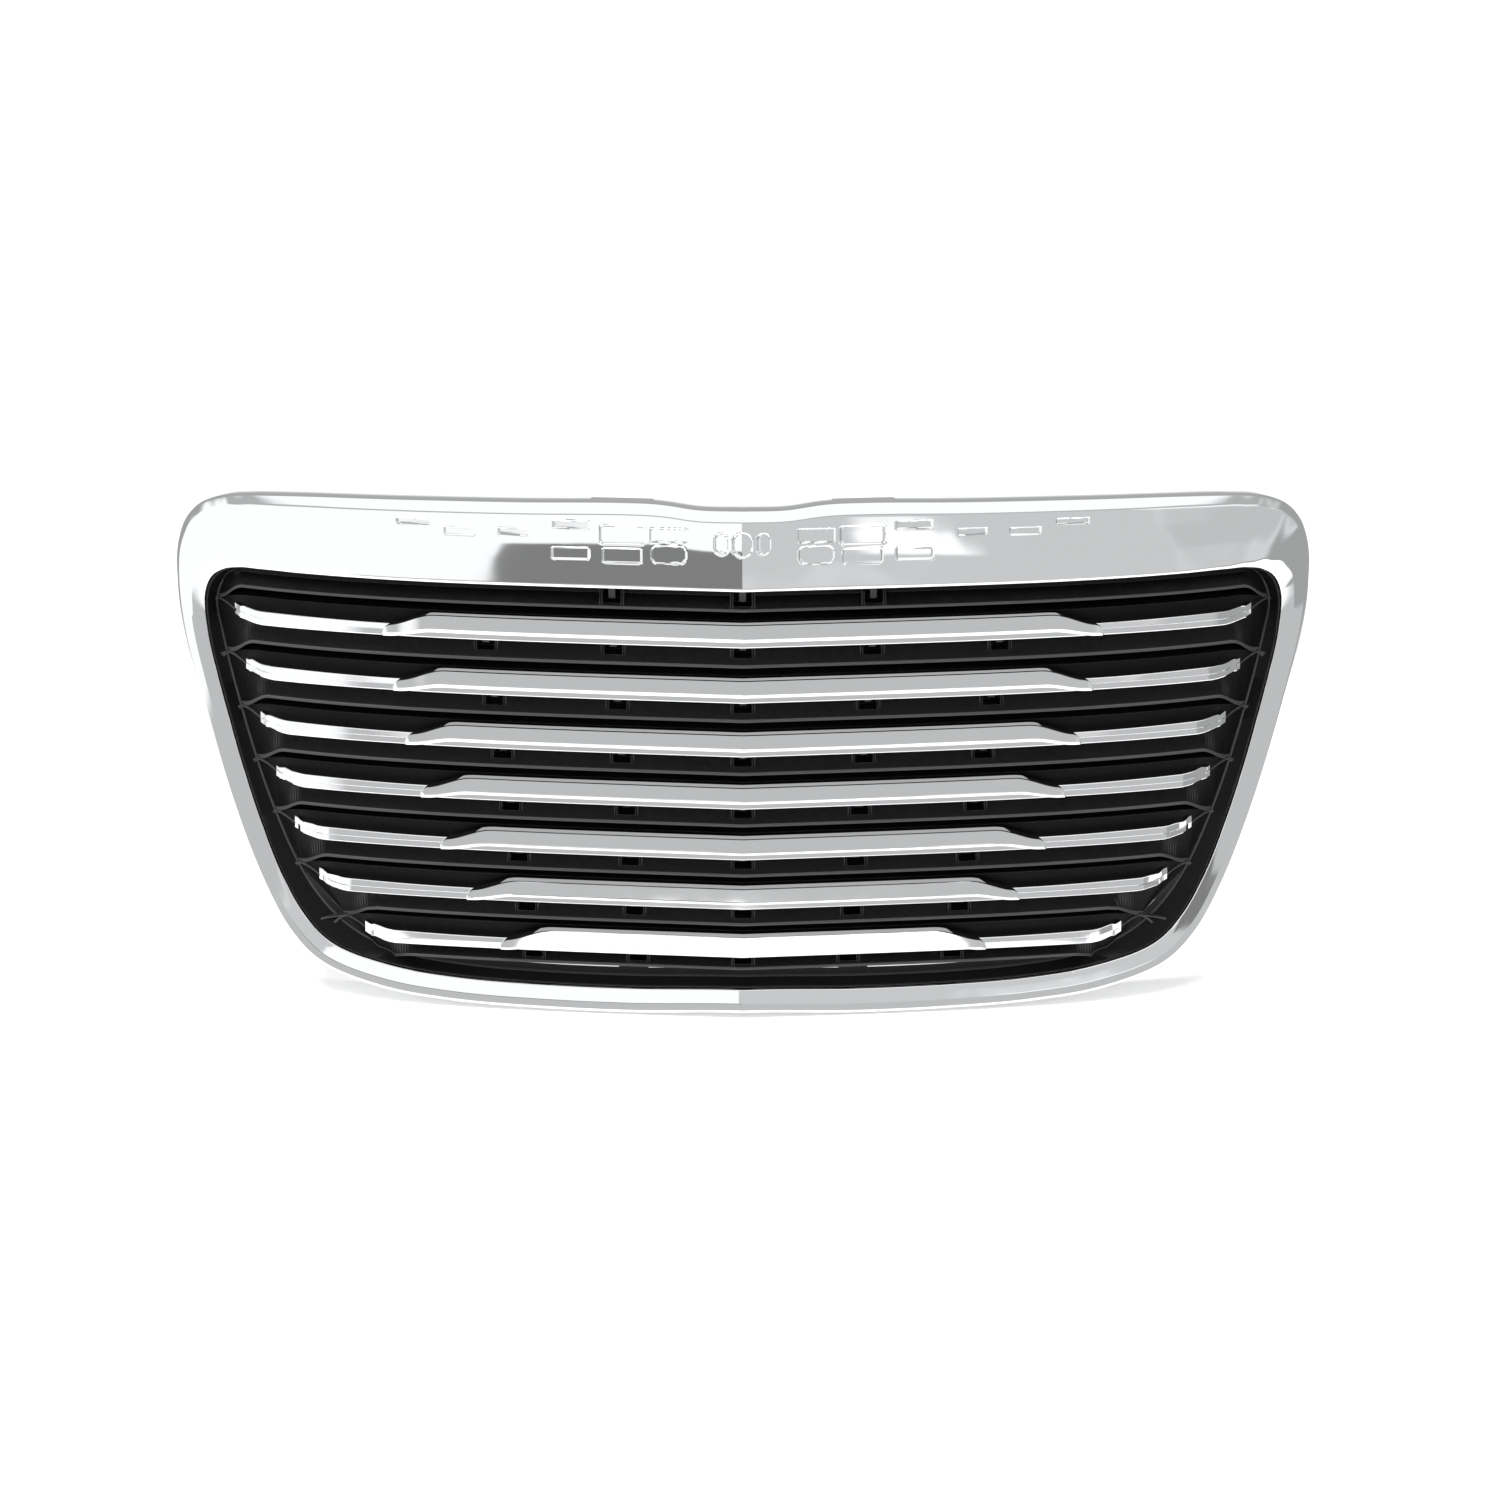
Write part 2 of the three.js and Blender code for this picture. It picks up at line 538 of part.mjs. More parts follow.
// One bar: a channel open to the rear, wide in the middle, stepping down to thin ends.
function barChannel(n) {
  const wide = wideHalf(n);
  const end = barEnd(n);
  const shoulder = [0, 0.42, 0.75, 1].map((s) => wide + s * SHOULDER_LENGTH);
  const sections = sectionXs(shoulder, end).map((x) => {
    const share = THREE.MathUtils.clamp((Math.abs(x) - wide) / SHOULDER_LENGTH, 0, 1);
    const drop = share ** 1.6;
    const taper = THREE.MathUtils.clamp((Math.abs(x) - end + 26) / 26, 0, 1) ** 2;
    const hang = THREE.MathUtils.lerp(WIDE_BAR_DROP, THIN_BAR_DROP, share);
    const bottom = barBottom(n) - hang + 1.2 * taper;
    const top = bottom + THREE.MathUtils.lerp(BAR_HEIGHT, THIN_BAR_HEIGHT, drop) - 2.2 * taper;
    const front = THIN_BAR_SETBACK * share + 4.5 * taper;
    return [
      onSurface(x, top, BAR_DEPTH),
      onSurface(x, top, front + 2),
      onSurface(x, bottom + BAR_CREASE, front),
      onSurface(x, bottom, front + 3.4),
      onSurface(x, bottom, BAR_DEPTH),
      onSurface(x, bottom + BAR_WALL, BAR_DEPTH),
      onSurface(x, bottom + BAR_CREASE, front + 3),
      onSurface(x, top - BAR_WALL, BAR_DEPTH),
    ];
  });
  return solid(loft(sections));
}

const barScrewX = (n) => barEnd(n) - 34;
const barScrewZ = (n) => barBottom(n) - THIN_BAR_DROP + THIN_BAR_HEIGHT / 2;
const barScrewPlaces = () =>
  Array.from({ length: BAR_COUNT }, (_, n) => bothSides([barScrewX(n)]))
    .flatMap((xs, n) => xs.map((x) => [x, barScrewZ(n)]));

function chromeBar(n) {
  const places = bothSides([barScrewX(n)]).map((x) => [x, barScrewZ(n)]);
  const bosses = places.map(([x, z]) => screwBoss(x, z, WALL_SEAT, 6));
  const pilots = places.map(([x, z]) => screwPilot(x, z, WALL_SEAT));
  const tabs = tabXs(n, 2).map((x) => barTab(x, barBottom(n)));
  return cut(joined([barChannel(n), ...bosses, ...tabs]), pilots);
}

// ---------------------------------------------------------------- fasteners

// A pan-head screw along +Z, its head's underside at the origin and its head towards -Z.
function screwGeometry(length) {
  const profile = [
    [0, -SCREW_HEAD_HEIGHT], [SCREW_HEAD_R, -SCREW_HEAD_HEIGHT * 0.5], [SCREW_HEAD_R, 0],
    [SCREW_SHANK_R, 0], [SCREW_SHANK_R, length - 1.5], [0, length],
  ];
  const points = profile.map(([r, y]) => new THREE.Vector2(r, y));
  return new THREE.LatheGeometry(points, 8).rotateX(Math.PI / 2);
}

function screwMesh(name, x, z, seat) {
  const geometry = geometryOf(solid(screwGeometry(SCREW_LENGTH))).translate(0, 0, -HEAD_GAP);
  const mesh = piece(name, geometry, ZINC);
  mesh.applyMatrix4(screwAxis(x, z, seat));
  return mesh;
}

// A spring nut: a folded strip that clips over a top tab, with the tab's hole through it.
function springNut(x) {
  const { z, thickness, rear, holeR } = TOP_TAB;
  const strip = 0.9;
  const half = thickness / 2 + GAP;
  const back = 2.5;
  const outline = [
    [-22, half], [back, half], [back, -half], [-20, -half], [-20, -half - strip],
    [back + strip, -half - strip], [back + strip, half + strip], [-22, half + strip],
  ];
  const shape = new THREE.Shape(outline.map(([y, h]) => new THREE.Vector2(y, h)));
  const geometry = new THREE.ExtrudeGeometry(shape, { depth: 14, bevelEnabled: false });
  const basis = new THREE.Matrix4().makeBasis(
    new THREE.Vector3(0, 1, 0), new THREE.Vector3(0, 0, 1), new THREE.Vector3(1, 0, 0),
  );
  geometry.translate(0, 0, -7).applyMatrix4(basis);
  const tabRear = surfaceY(x, z) + rear;
  geometry.translate(x, tabRear, z);
  const hole = new THREE.CylinderGeometry(holeR - 0.6, holeR - 0.6, 20, 12).rotateX(Math.PI / 2);
  return cut(solid(geometry), [solid(hole.translate(x, tabRear - TOP_TAB_HOLE_IN, z))]);
}

// ---------------------------------------------------------------- assembly

function piece(name, geometry, look) {
  const mesh = new THREE.Mesh(geometry, new THREE.MeshStandardMaterial(look));
  mesh.name = name;
  return mesh;
}

const grille = new THREE.Group();
grille.add(piece("chrome_surround", geometryOf(chromeSurround()), CHROME));
grille.add(piece("louver_insert", geometryOf(louverInsert()), BLACK_PLASTIC));
for (let n = 0; n < BAR_COUNT; n += 1) {
  grille.add(piece(`chrome_bar_${n + 1}`, geometryOf(chromeBar(n)), CHROME));
}
bossPlaces().forEach(([x, z], i) => {
  grille.add(screwMesh(`surround_screw_${i + 1}`, x, z, FLANGE_SEAT));
});
barScrewPlaces().forEach(([x, z], i) => {
  const side = x < 0 ? "left" : "right";
  grille.add(screwMesh(`bar_${Math.floor(i / 2) + 1}_screw_${side}`, x, z, WALL_SEAT));
});
bothSides(TOP_TAB_XS).forEach((x, i) => {
  grille.add(piece(`spring_nut_${i + 1}`, geometryOf(springNut(x)), SPRING_STEEL));
});

// The part's origin is the centre of its bounding box.
const middle = new THREE.Box3().setFromObject(grille).getCenter(new THREE.Vector3());
grille.position.copy(middle).negate();
const part = new THREE.Group();
part.add(grille);

export default part;
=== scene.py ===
import math

import bmesh
import bpy
from mathutils import Matrix, Vector


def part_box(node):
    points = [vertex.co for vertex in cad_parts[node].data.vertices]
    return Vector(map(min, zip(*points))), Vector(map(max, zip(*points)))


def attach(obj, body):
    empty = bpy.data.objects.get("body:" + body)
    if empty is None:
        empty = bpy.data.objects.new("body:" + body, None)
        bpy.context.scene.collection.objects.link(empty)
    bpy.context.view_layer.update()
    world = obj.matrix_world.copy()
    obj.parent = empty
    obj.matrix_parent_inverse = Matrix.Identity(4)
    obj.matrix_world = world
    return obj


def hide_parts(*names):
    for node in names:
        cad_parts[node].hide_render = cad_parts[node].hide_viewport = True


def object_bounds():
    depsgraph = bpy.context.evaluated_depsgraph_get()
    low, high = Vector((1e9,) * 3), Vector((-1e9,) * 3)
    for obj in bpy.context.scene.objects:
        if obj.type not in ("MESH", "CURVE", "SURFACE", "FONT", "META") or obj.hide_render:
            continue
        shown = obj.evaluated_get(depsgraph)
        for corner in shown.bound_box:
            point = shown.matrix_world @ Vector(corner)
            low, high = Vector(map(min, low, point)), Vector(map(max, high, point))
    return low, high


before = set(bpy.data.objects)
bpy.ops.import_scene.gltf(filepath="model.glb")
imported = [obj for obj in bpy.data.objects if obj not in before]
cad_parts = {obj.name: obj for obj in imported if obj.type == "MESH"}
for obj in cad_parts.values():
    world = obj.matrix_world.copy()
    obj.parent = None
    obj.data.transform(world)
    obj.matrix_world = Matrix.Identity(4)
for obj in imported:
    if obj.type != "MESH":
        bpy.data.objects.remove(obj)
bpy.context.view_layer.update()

# ---------------------------------------------------------------- driving dimensions

MM = 0.001
PLAN_SLOPE = 0.107
PLAN_CURL = 1.3e-9
PLAN_FLATTEN = 0.001
FLATTEN_FROM = 90

SURROUND_TOP = 184
HALF_WIDTH = 450
BAR_COUNT = 7
TOP_BAR_MIDDLE = 91
BAR_PITCH = 43.6
PITCH_CLOSING = 0.14
BAR_HEIGHT = 15.6
THIN_BAR_HEIGHT = 10.4
THIN_FACE_HEIGHT = THIN_BAR_HEIGHT - 1.4
THIN_BAR_DROP = 4.2
BAR_CREASE = 2.9  # height of the crease over a bar's lower edge
CAP_HEIGHT = 13.4  # the cap is a bar's wide middle, in front of its thin bar
CAP_LIFT = 0.7  # its lower edge over bar_bottom()
BAR_DEPTH = 14.2
WIDE_HALF_TOP = 237  # half length of the top bar's wide middle
WIDE_CLOSING = 5.5
WIDE_CURL = 0.22
SHOULDER_LENGTH = 39
SHOULDER_LEAD = 6  # the shoulder starts this far inside wide_half()
BAR_END_SHORT_OF_RIB = 18
BAR_SWEEP = 26  # length over which a bar's end sweeps back
BAR_SCREW_IN = 34  # screws, inward from a bar's end
RIB_HALF_WIDTHS = [419.5, 413, 404, 393.5, 381, 363, 326.5, 296]
RIB_OFFSET = 22
LIP_BEND = 30
LIP_ABOVE_BAR = 16.7
BOTTOM_LIP_Z = -187.5
LIP_OFFSET = 3.5
LIP_HEIGHT = 1.6
SEAT_OFFSET = 14.5
WALL_BELOW_BAR = 5.2
SHELF_OFFSET = 34
SHELF_RIB = 4  # upstand along the shelf's rear edge
SHELF_RIB_WIDTH = 1.6
MOULDING = 3
HEADER_UNDERSIDE = 121
SURROUND_REAR = 36
SURROUND_WALL = 2.7
HEADER_FACE_TOP = 16.1  # the header's face lies before the line from this offset
HEADER_FACE_FALL = 14  # that falls by this much across its width
POCKET_DEPTH = 1.25
SLOT_HEIGHT = 7  # pockets lower than this are slots, whose floors lean back
SLOT_LEAN = 0.1
TAB_PITCH = 98
TAB_PITCH_CLOSING = 2.3
WINDOW_WIDTH = 14
WINDOW_HEIGHT = 12.4
LIP_MARGIN = 3
WINDOW_REAR = 22.5
HOUSING_WALL = 2
FLANGE_FRONT = 12
FLANGE_WIDTH = 9
TAB_WIDTH = 5
BOSS_R = 3.5
HEADER_BOSS = 11
RAIL_BOSS = 7
BAR_BOSS = 9
BOSS_FROM_EDGE = 5.5  # boss centres, outward from the surround's inner edge
TOP_TAB_XS = [110, 290]
TOP_TAB_Z = 172
TOP_TAB_WIDTH = 30
TOP_TAB_REAR = 60
TOP_TAB_HOLE_R = 3.4
TOP_TAB_HOLE_IN = 12
TOP_TAB_LAP = 9  # how far it starts in front of the surround's rear
RISER_THICKNESS = 2.8
LOWER_TAB_XS = [90, 215]
LOWER_TAB_Z = -206
LOWER_TAB_WIDTH = 24
LOWER_TAB_REAR = 54
LOWER_TAB_HOLE_R = 2.6
LOWER_TAB_HOLE_IN = 8

# Screws round the surround: station number and share of the way to the next.
SCREW_PLACES = [(2, 0.5), (6, 0.3), (12, 0.15), (13, 0.2), (15, 0.1), (18, 0.4)]

# Outer edge, inner edge, rib line and share of header, from the top centre clockwise.
STATIONS = [
    ((0, 180.2), (0, 123), (0, 118), 1),
    ((31, 180.2), (31, 123), (31, 118), 1),
    ((66, 184), (66, 123), (66, 118), 1),
    ((170, 182.7), (170, 123), (170, 118), 1),
    ((235, 181.8), (235, 123), (235, 118), 1),
    ((290, 180.8), (290, 123.2), (290, 118), 1),
    ((335, 179.6), (335, 123.4), (335, 118.2), 1),
    ((384, 176.8), (372, 123.6), (372, 118.5), 0.97),
    ((408, 173.4), (392, 122.8), (389, 117.6), 0.88),
    ((429, 165), (407, 118.8), (401, 114.5), 0.66),
    ((443, 149), (418, 111), (411, 107.5), 0.4),
    ((450, 122), (425.5, 96.5), (419.5, 90), 0.15),
    ((448.5, 75), (426, 66), (416.5, 62), 0),
    ((435, 9.5), (415, 8), (405, 5), 0),
    ((415, -71), (396.5, -68), (385, -70), 0),
    ((393.5, -135), (376, -130), (361, -130), 0),
    ((373, -176), (358, -164), (340, -160), 0),
    ((348, -201), (337, -185), (315, -180), 0),
    ((296, -219), (290, -200), (278, -194.5), 0),
    ((235, -226.5), (234, -207), (230, -201), 0),
    ((170, -229.2), (170, -209.7), (170, -203.8), 0),
    ((90, -230), (90, -210.3), (90, -204.3), 0),
    ((0, -227), (0, -208), (0, -202), 0),
]
HEADER_SPANS = 6  # stretches between stations that hold badge pockets

# Badge pockets in the header: |x|, z, width, height, corner radius. All but the middle one come in
# pairs.
POCKETS = [
    (248, 166.5, 26, 4.5, 0.8), (211.5, 161, 24, 5.5, 0.8), (171, 162, 22, 5, 0.8),
    (127.5, 168, 27, 6, 0.8), (89, 162, 34, 13, 2.5), (54.5, 162.2, 28, 10, 1.5),
    (54.5, 148.5, 26, 13, 4.5), (89, 147, 30, 11, 2), (128, 148, 28, 9, 2),
    (0, 156.5, 15.4, 17.6, 7.6), (15.6, 157, 9.5, 15.4, 4.7),
]

# ---------------------------------------------------------------- places

BAR_1_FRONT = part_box("chrome_bar_1")[0][1]
SURROUND_BOX_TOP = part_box("chrome_surround")[1][2]


def surface_y(x, z):
    ax = abs(x)
    depth = PLAN_SLOPE * ax + PLAN_CURL * ax ** 4
    return depth * (1 - PLAN_FLATTEN * (FLATTEN_FROM - z))


def place(x, offset, z):
    """A point on the styling surface, moved back by offset, in the row frame in metres."""
    y = BAR_1_FRONT + (surface_y(x, z) + offset) * MM
    return Vector((x * MM, y, SURROUND_BOX_TOP + (z - SURROUND_TOP) * MM))


def bar_middle(n):
    return TOP_BAR_MIDDLE - BAR_PITCH * n + PITCH_CLOSING * n * n


def bar_bottom(n):
    return bar_middle(n) - BAR_HEIGHT / 2


def bar_end(n):
    return RIB_HALF_WIDTHS[n] - BAR_END_SHORT_OF_RIB


def wide_half(n):
    return WIDE_HALF_TOP - WIDE_CLOSING * n - WIDE_CURL * n ** 3


def lip_middle(n):
    return BOTTOM_LIP_Z if n == BAR_COUNT else bar_middle(n) + LIP_ABOVE_BAR


def tab_xs(n, pairs):
    pitch = TAB_PITCH - TAB_PITCH_CLOSING * n
    return [i * pitch for i in range(-pairs, pairs + 1)]


def lerp(a, b, t):
    return a + (b - a) * t


def smooth(low, high, x):
    t = min(1, max(0, (x - low) / (high - low)))
    return t * t * (3 - 2 * t)


def spread(values, step):
    """Values with more put between them, no further than step apart."""
    out = [values[0]]
    for a, b in zip(values, values[1:]):
        count = max(1, math.ceil(abs(b - a) / step))
        out += [a + (b - a) * i / count for i in range(1, count + 1)]
    return out


# ---------------------------------------------------------------- mesh helpers

# Numbers of the materials after a piece's first one, as main() lists them.
BARE = 1  # chromed pieces: plastic that the plating has not reached
EDGE_HIGHLIGHT = 1  # black insert: free edges, which take a painted highlight
DEEP_SHADE = 2  # black insert: faces deep inside, rough as they come from the mould, and darker as painted shade


def loft_faces(bm, sections, ring=False, finishes=None):
    """Adds a loft of equal closed sections to bm, capped at its ends unless it is a ring.
    finishes gives the material number of the strips that start at some points; others take 0."""
    finishes = finishes or {}
    rows = [[bm.verts.new(p) for p in section] for section in sections]
    count = len(rows[0])
    pairs = list(zip(rows, rows[1:]))
    if ring:
        pairs.append((rows[-1], rows[0]))
    for a, b in pairs:
        for i in range(count):
            j = (i + 1) % count
            face = bm.faces.new((a[i], b[i], b[j], a[j]))
            face.material_index = finishes.get(i, 0)
    if not ring:
        for cap in (rows[0], rows[-1][::-1]):
            bm.faces.new(cap).material_index = finishes.get("ends", 0)


def finish_mesh(bm, name, sharp_angle=30):
    """A new object from bm, its faces turned outwards and its edges sharp past sharp_angle."""
    bmesh.ops.remove_doubles(bm, verts=bm.verts, dist=1e-6)
    bmesh.ops.recalc_face_normals(bm, faces=bm.faces)
    mesh = bpy.data.meshes.new(name)
    bm.to_mesh(mesh)
    bm.free()
    obj = bpy.data.objects.new(name, mesh)
    bpy.context.scene.collection.objects.link(obj)
    soften(obj, sharp_angle)
    return obj


def soften(obj, sharp_angle):
    obj.data.polygons.foreach_set("use_smooth", [True] * len(obj.data.polygons))
    obj.data.set_sharp_from_angle(angle=math.radians(sharp_angle))


def lofted(name, sections, ring=False, sharp_angle=30, finishes=None):
    bm = bmesh.new()
    loft_faces(bm, sections, ring, finishes)
    return finish_mesh(bm, name, sharp_angle)


def cut(obj, other):
    """Cuts other out of obj, and other goes away."""
    mod = obj.modifiers.new("cut", "BOOLEAN")
    mod.operation = "DIFFERENCE"
    mod.solver = "EXACT"
    mod.object = other
    apply_modifiers(obj)
    bpy.data.objects.remove(other)


def apply_modifiers(obj):
    depsgraph = bpy.context.evaluated_depsgraph_get()
    mesh = bpy.data.meshes.new_from_object(obj.evaluated_get(depsgraph))
    obj.modifiers.clear()
    old = obj.data
    obj.data = mesh
    bpy.data.meshes.remove(old)


# A box's faces by corner: 0 to 3 go round its front from the lower left, 4 to 7 round its rear.
BOX_FACES = ((0, 1, 2, 3), (7, 6, 5, 4), (0, 4, 5, 1), (1, 5, 6, 2), (2, 6, 7, 3), (3, 7, 4, 0))


def add_box_faces(bm, corners):
    for face in BOX_FACES:
        bm.faces.new([corners[i] for i in face])


def block(bm, x, z, width, height, front, rear):
    """A box swung with the surface, in bm."""
    corners = []
    for offset in (front, rear):
        for sx, sz in ((-1, -1), (1, -1), (1, 1), (-1, 1)):
            px = x + sx * width / 2
            pz = z + sz * height / 2
            corners.append(bm.verts.new(place(px, offset, pz)))
    add_box_faces(bm, corners)


# ---------------------------------------------------------------- perimeter curve


def catmull_rom(p0, p1, p2, p3, t):
    """Centripetal Catmull-Rom point between p1 and p2."""
    def knot(a, b):
        return max(1e-6, (Vector(b) - Vector(a)).length ** 0.5)

    t1 = knot(p0, p1)
    t2 = t1 + knot(p1, p2)
    t3 = t2 + knot(p2, p3)
    u = lerp(t1, t2, t)
    a1 = [lerp(a, b, u / t1) for a, b in zip(p0, p1)]
    a2 = [lerp(a, b, (u - t1) / (t2 - t1)) for a, b in zip(p1, p2)]
    a3 = [lerp(a, b, (u - t2) / (t3 - t2)) for a, b in zip(p2, p3)]
    b1 = [lerp(a, b, u / t2) for a, b in zip(a1, a2)]
    b2 = [lerp(a, b, (u - t1) / (t3 - t1)) for a, b in zip(a2, a3)]
    return [lerp(a, b, (u - t1) / (t2 - t1)) for a, b in zip(b1, b2)]


def mirrored(point):
    return (-point[0], point[1])


def perimeter(header_step, step):
    """Smooth stations round one half, each (outer, inner, rib, share of header)."""
    found = []
    last = len(STATIONS) - 1
    for i in range(last):
        lines = []
        for line in range(3):
            before = STATIONS[i - 1][line] if i else mirrored(STATIONS[1][line])
            if i + 2 <= last:
                after = STATIONS[i + 2][line]
            else:
                after = mirrored(STATIONS[last - 1][line])
            lines.append((before, STATIONS[i][line], STATIONS[i + 1][line], after))
        length = math.dist(STATIONS[i][0], STATIONS[i + 1][0])
        count = math.ceil(length / (header_step if i < HEADER_SPANS else step))
        for k in range(count):
            t = k / count
            outer, inner, rib = (catmull_rom(*points, t) for points in lines)
            share = lerp(STATIONS[i][3], STATIONS[i + 1][3], smooth(0, 1, t))
            found.append((outer, inner, rib, share))
    outer, inner, rib, share = STATIONS[last]
    found.append((outer, inner, rib, share))
    return found


def ring_of(stations, section):
    """Sections of a whole ring from stations round its right half."""
    right = [section(station, 1) for station in stations]
    left = [section(station, -1) for station in stations[1:-1]]
    return right + left[::-1]


# ---------------------------------------------------------------- chromed surround

# Key points of the section: (share of the width from the outer edge, offset, mm further in,
# fillet radius, points in the stretch that follows). Header and rail correspond point by point.
HEADER_KEYS = [
    (0, SURROUND_REAR, 0, 0.4, 1), (0, 20.6, 0, 2.2, 2), (0.135, 14.3, 0, 1.6, 26),
    (0.5, 6.4, 0, 20, 30), (0.97, 0.4, 0, 0.9, 2), (1, 1.2, 0, 0.5, 1), (1, 4, 0, 0.3, 2),
    (0.9, 3.8, 0, 0.8, 4), (0.5, 9.5, 0, 10, 4), (0.15, 17.5, 0, 0.8, 2),
    (0, 24.5, SURROUND_WALL, 0.5, 1), (0, SURROUND_REAR, SURROUND_WALL, 0.4, 1),
]
RAIL_KEYS = [
    (0, SURROUND_REAR, 0, 0.4, 1), (0, 3.4, 0, 1.2, 2), (0.12, 1.4, 0, 1.2, 26),
    (0.46, 3.2, 0, 0.4, 30), (0.52, 3.8, 0, 0.4, 2), (0.97, 8.3, 0, 0.6, 1), (1, 9.8, 0, 0.3, 2),
    (0.9, 10.2, 0, 0.5, 4), (0.56, 7.2, 0, 0.5, 4), (0.3, 5.6, 0, 0.5, 2),
    (0, 9.5, SURROUND_WALL, 0.5, 1), (0, SURROUND_REAR, SURROUND_WALL, 0.4, 1),
]
FILLET_POINTS = [4, 6, 6, 26, 6, 4, 3, 3, 6, 3, 3, 3]


def filleted(keys):
    """Points along a closed outline of (across, offset, radius, stretch count) keys."""
    points = []
    corners = []
    for i, (s, off, radius, _) in enumerate(keys):
        here = Vector((s, off))
        to_last = Vector(keys[i - 1][:2]) - here
        to_next = Vector(keys[(i + 1) % len(keys)][:2]) - here
        reach = min(radius, to_last.length * 0.45, to_next.length * 0.45)
        start = here + to_last.normalized() * reach
        end = here + to_next.normalized() * reach
        corners.append((start, here, end))
    for i, (start, here, end) in enumerate(corners):
        for k in range(FILLET_POINTS[i]):
            t = k / (FILLET_POINTS[i] - 1)
            points.append(start * (1 - t) ** 2 + here * 2 * t * (1 - t) + end * t * t)
        following = corners[(i + 1) % len(corners)][0]
        for k in range(1, keys[i][3]):
            points.append(end.lerp(following, k / keys[i][3]))
    return points


def pocket_depth(x, z):
    """How deep the badge pockets are at a place on the header, with softly broken edges."""
    deepest = 0
    for px, pz, width, height, radius in POCKETS:
        dx = abs(abs(x) - px) - (width / 2 - radius)
        dz = abs(z - pz) - (height / 2 - radius)
        if dx > radius + 1 or dz > radius + 1:
            continue
        outside = math.hypot(max(dx, 0), max(dz, 0)) + min(max(dx, dz), 0) - radius
        floor = POCKET_DEPTH + (SLOT_LEAN * (z - pz) if height < SLOT_HEIGHT else 0)
        deepest = max(deepest, floor * (1 - smooth(-0.9, 0.3, outside)))
    return deepest


def surround_section(station, side):
    outer, inner, _, share = station
    across = Vector(inner) - Vector(outer)
    width = across.length
    across.normalize()
    keys = []
    for header, rail in zip(HEADER_KEYS, RAIL_KEYS):
        at, offset, inward, radius = (lerp(rail[k], header[k], share) for k in range(4))
        keys.append((at * width + inward, offset, radius, header[4]))
    section = []
    for s, offset in filleted(keys):
        x = outer[0] + across.x * s
        z = outer[1] + across.y * s
        face_limit = HEADER_FACE_TOP - HEADER_FACE_FALL * s / width
        front = 0.1 * width < s < 0.95 * width and offset < face_limit
        if front and share == 1:
            offset += pocket_depth(x, z)
        x = min(x, HALF_WIDTH)
        section.append(place(side * x, offset, min(z, SURROUND_TOP)))
    return section


def boss_places():
    """Centres (x, z) of the screw bosses behind the surround's inner edge."""
    places = []
    for i, share in SCREW_PLACES:
        outer, inner = (
            Vector(STATIONS[i][line]).lerp(Vector(STATIONS[i + 1][line]), share) for line in (0, 1))
        at = inner + (outer - inner).normalized() * BOSS_FROM_EDGE
        places += [(-at.x, at.y), (at.x, at.y)]
    return places


def top_edge_z(x):
    for (a, *_), (b, *_) in zip(STATIONS, STATIONS[1:]):
        if b[0] > x:
            return lerp(a[1], b[1], (x - a[0]) / (b[0] - a[0]))


def top_tab(side, x):
    """A fixing tab behind the header, hung from its top wall."""
    depth = surface_y(x, TOP_TAB_Z)
    front = depth + SURROUND_REAR - TOP_TAB_LAP
    tab = drilled_tab(
        "top_tab", side * x, front, depth + TOP_TAB_REAR, TOP_TAB_Z, TOP_TAB_WIDTH, MOULDING,
        TOP_TAB_HOLE_R, TOP_TAB_HOLE_IN)
    bm = bmesh.new()
    riser_top = top_edge_z(x) - 1.2
    rear = front + RISER_THICKNESS
    square_block(bm, side * x, (front, TOP_TAB_Z), (rear, riser_top), TOP_TAB_WIDTH)
    return [tab, finish_mesh(bm, "riser")]


def make_surround():
    sections = ring_of(perimeter(0.9, 4), surround_section)
    surround = lofted("surround", sections, ring=True, sharp_angle=24)
    bm = bmesh.new()
    for x, z in boss_places():
        length = HEADER_BOSS if z > HEADER_UNDERSIDE else RAIL_BOSS
        post(bm, x, z, FLANGE_FRONT + MOULDING, BOSS_R, length)
    for x in tab_xs(0, 1):
        prism(bm, x, HEADER_UNDERSIDE, TAB_WIDTH, HEADER_TAB)
    parts = [finish_mesh(bm, "bosses")]
    for side in (-1, 1):
        for x in TOP_TAB_XS:
            parts += top_tab(side, x)
    join(surround, parts)
    soften(surround, 24)
    return surround


# ---------------------------------------------------------------- chromed bars


def both_sides(half):
    """The values of half, which starts at 0, and their negatives, in order."""
    return [-x for x in half[:0:-1]] + half


def core_section(n, x):
    """Section of the thin bar, whose end sweeps back and up in facets."""
    end = bar_end(n)
    back = max(0, (abs(x) - end + BAR_SWEEP) / BAR_SWEEP) ** 1.5
    facet = math.sin(abs(x) * 1.9 + 2.3 * n) * min(1, 1.6 * back)
    out = smooth(wide_half(n) + SHOULDER_LENGTH, end, abs(x))
    bottom = bar_bottom(n) - THIN_BAR_DROP - 0.6 * out + 3.4 * back
    top = bottom + THIN_FACE_HEIGHT + 1.6 * out - 1.6 * back + 0.6 * facet
    front = 3.2 + 9 * back + 0.9 * facet
    rear = BAR_DEPTH + 2.4 * back
    outline = [
        (rear, top - 0.8), (front + 2.6, top), (front + 2.1, top - 0.4),
        (front + 1.3 - facet, bottom + 5.3), (front + 1.6, bottom + 5.05),
        (front + 1.0, bottom + 4.8 + facet), (front + 0.3, bottom + 0.9),
        (front + 0.6, bottom + 0.3), (front + 1.4, bottom), (rear, bottom),
    ]
    return [place(x, offset, z) for offset, z in outline]


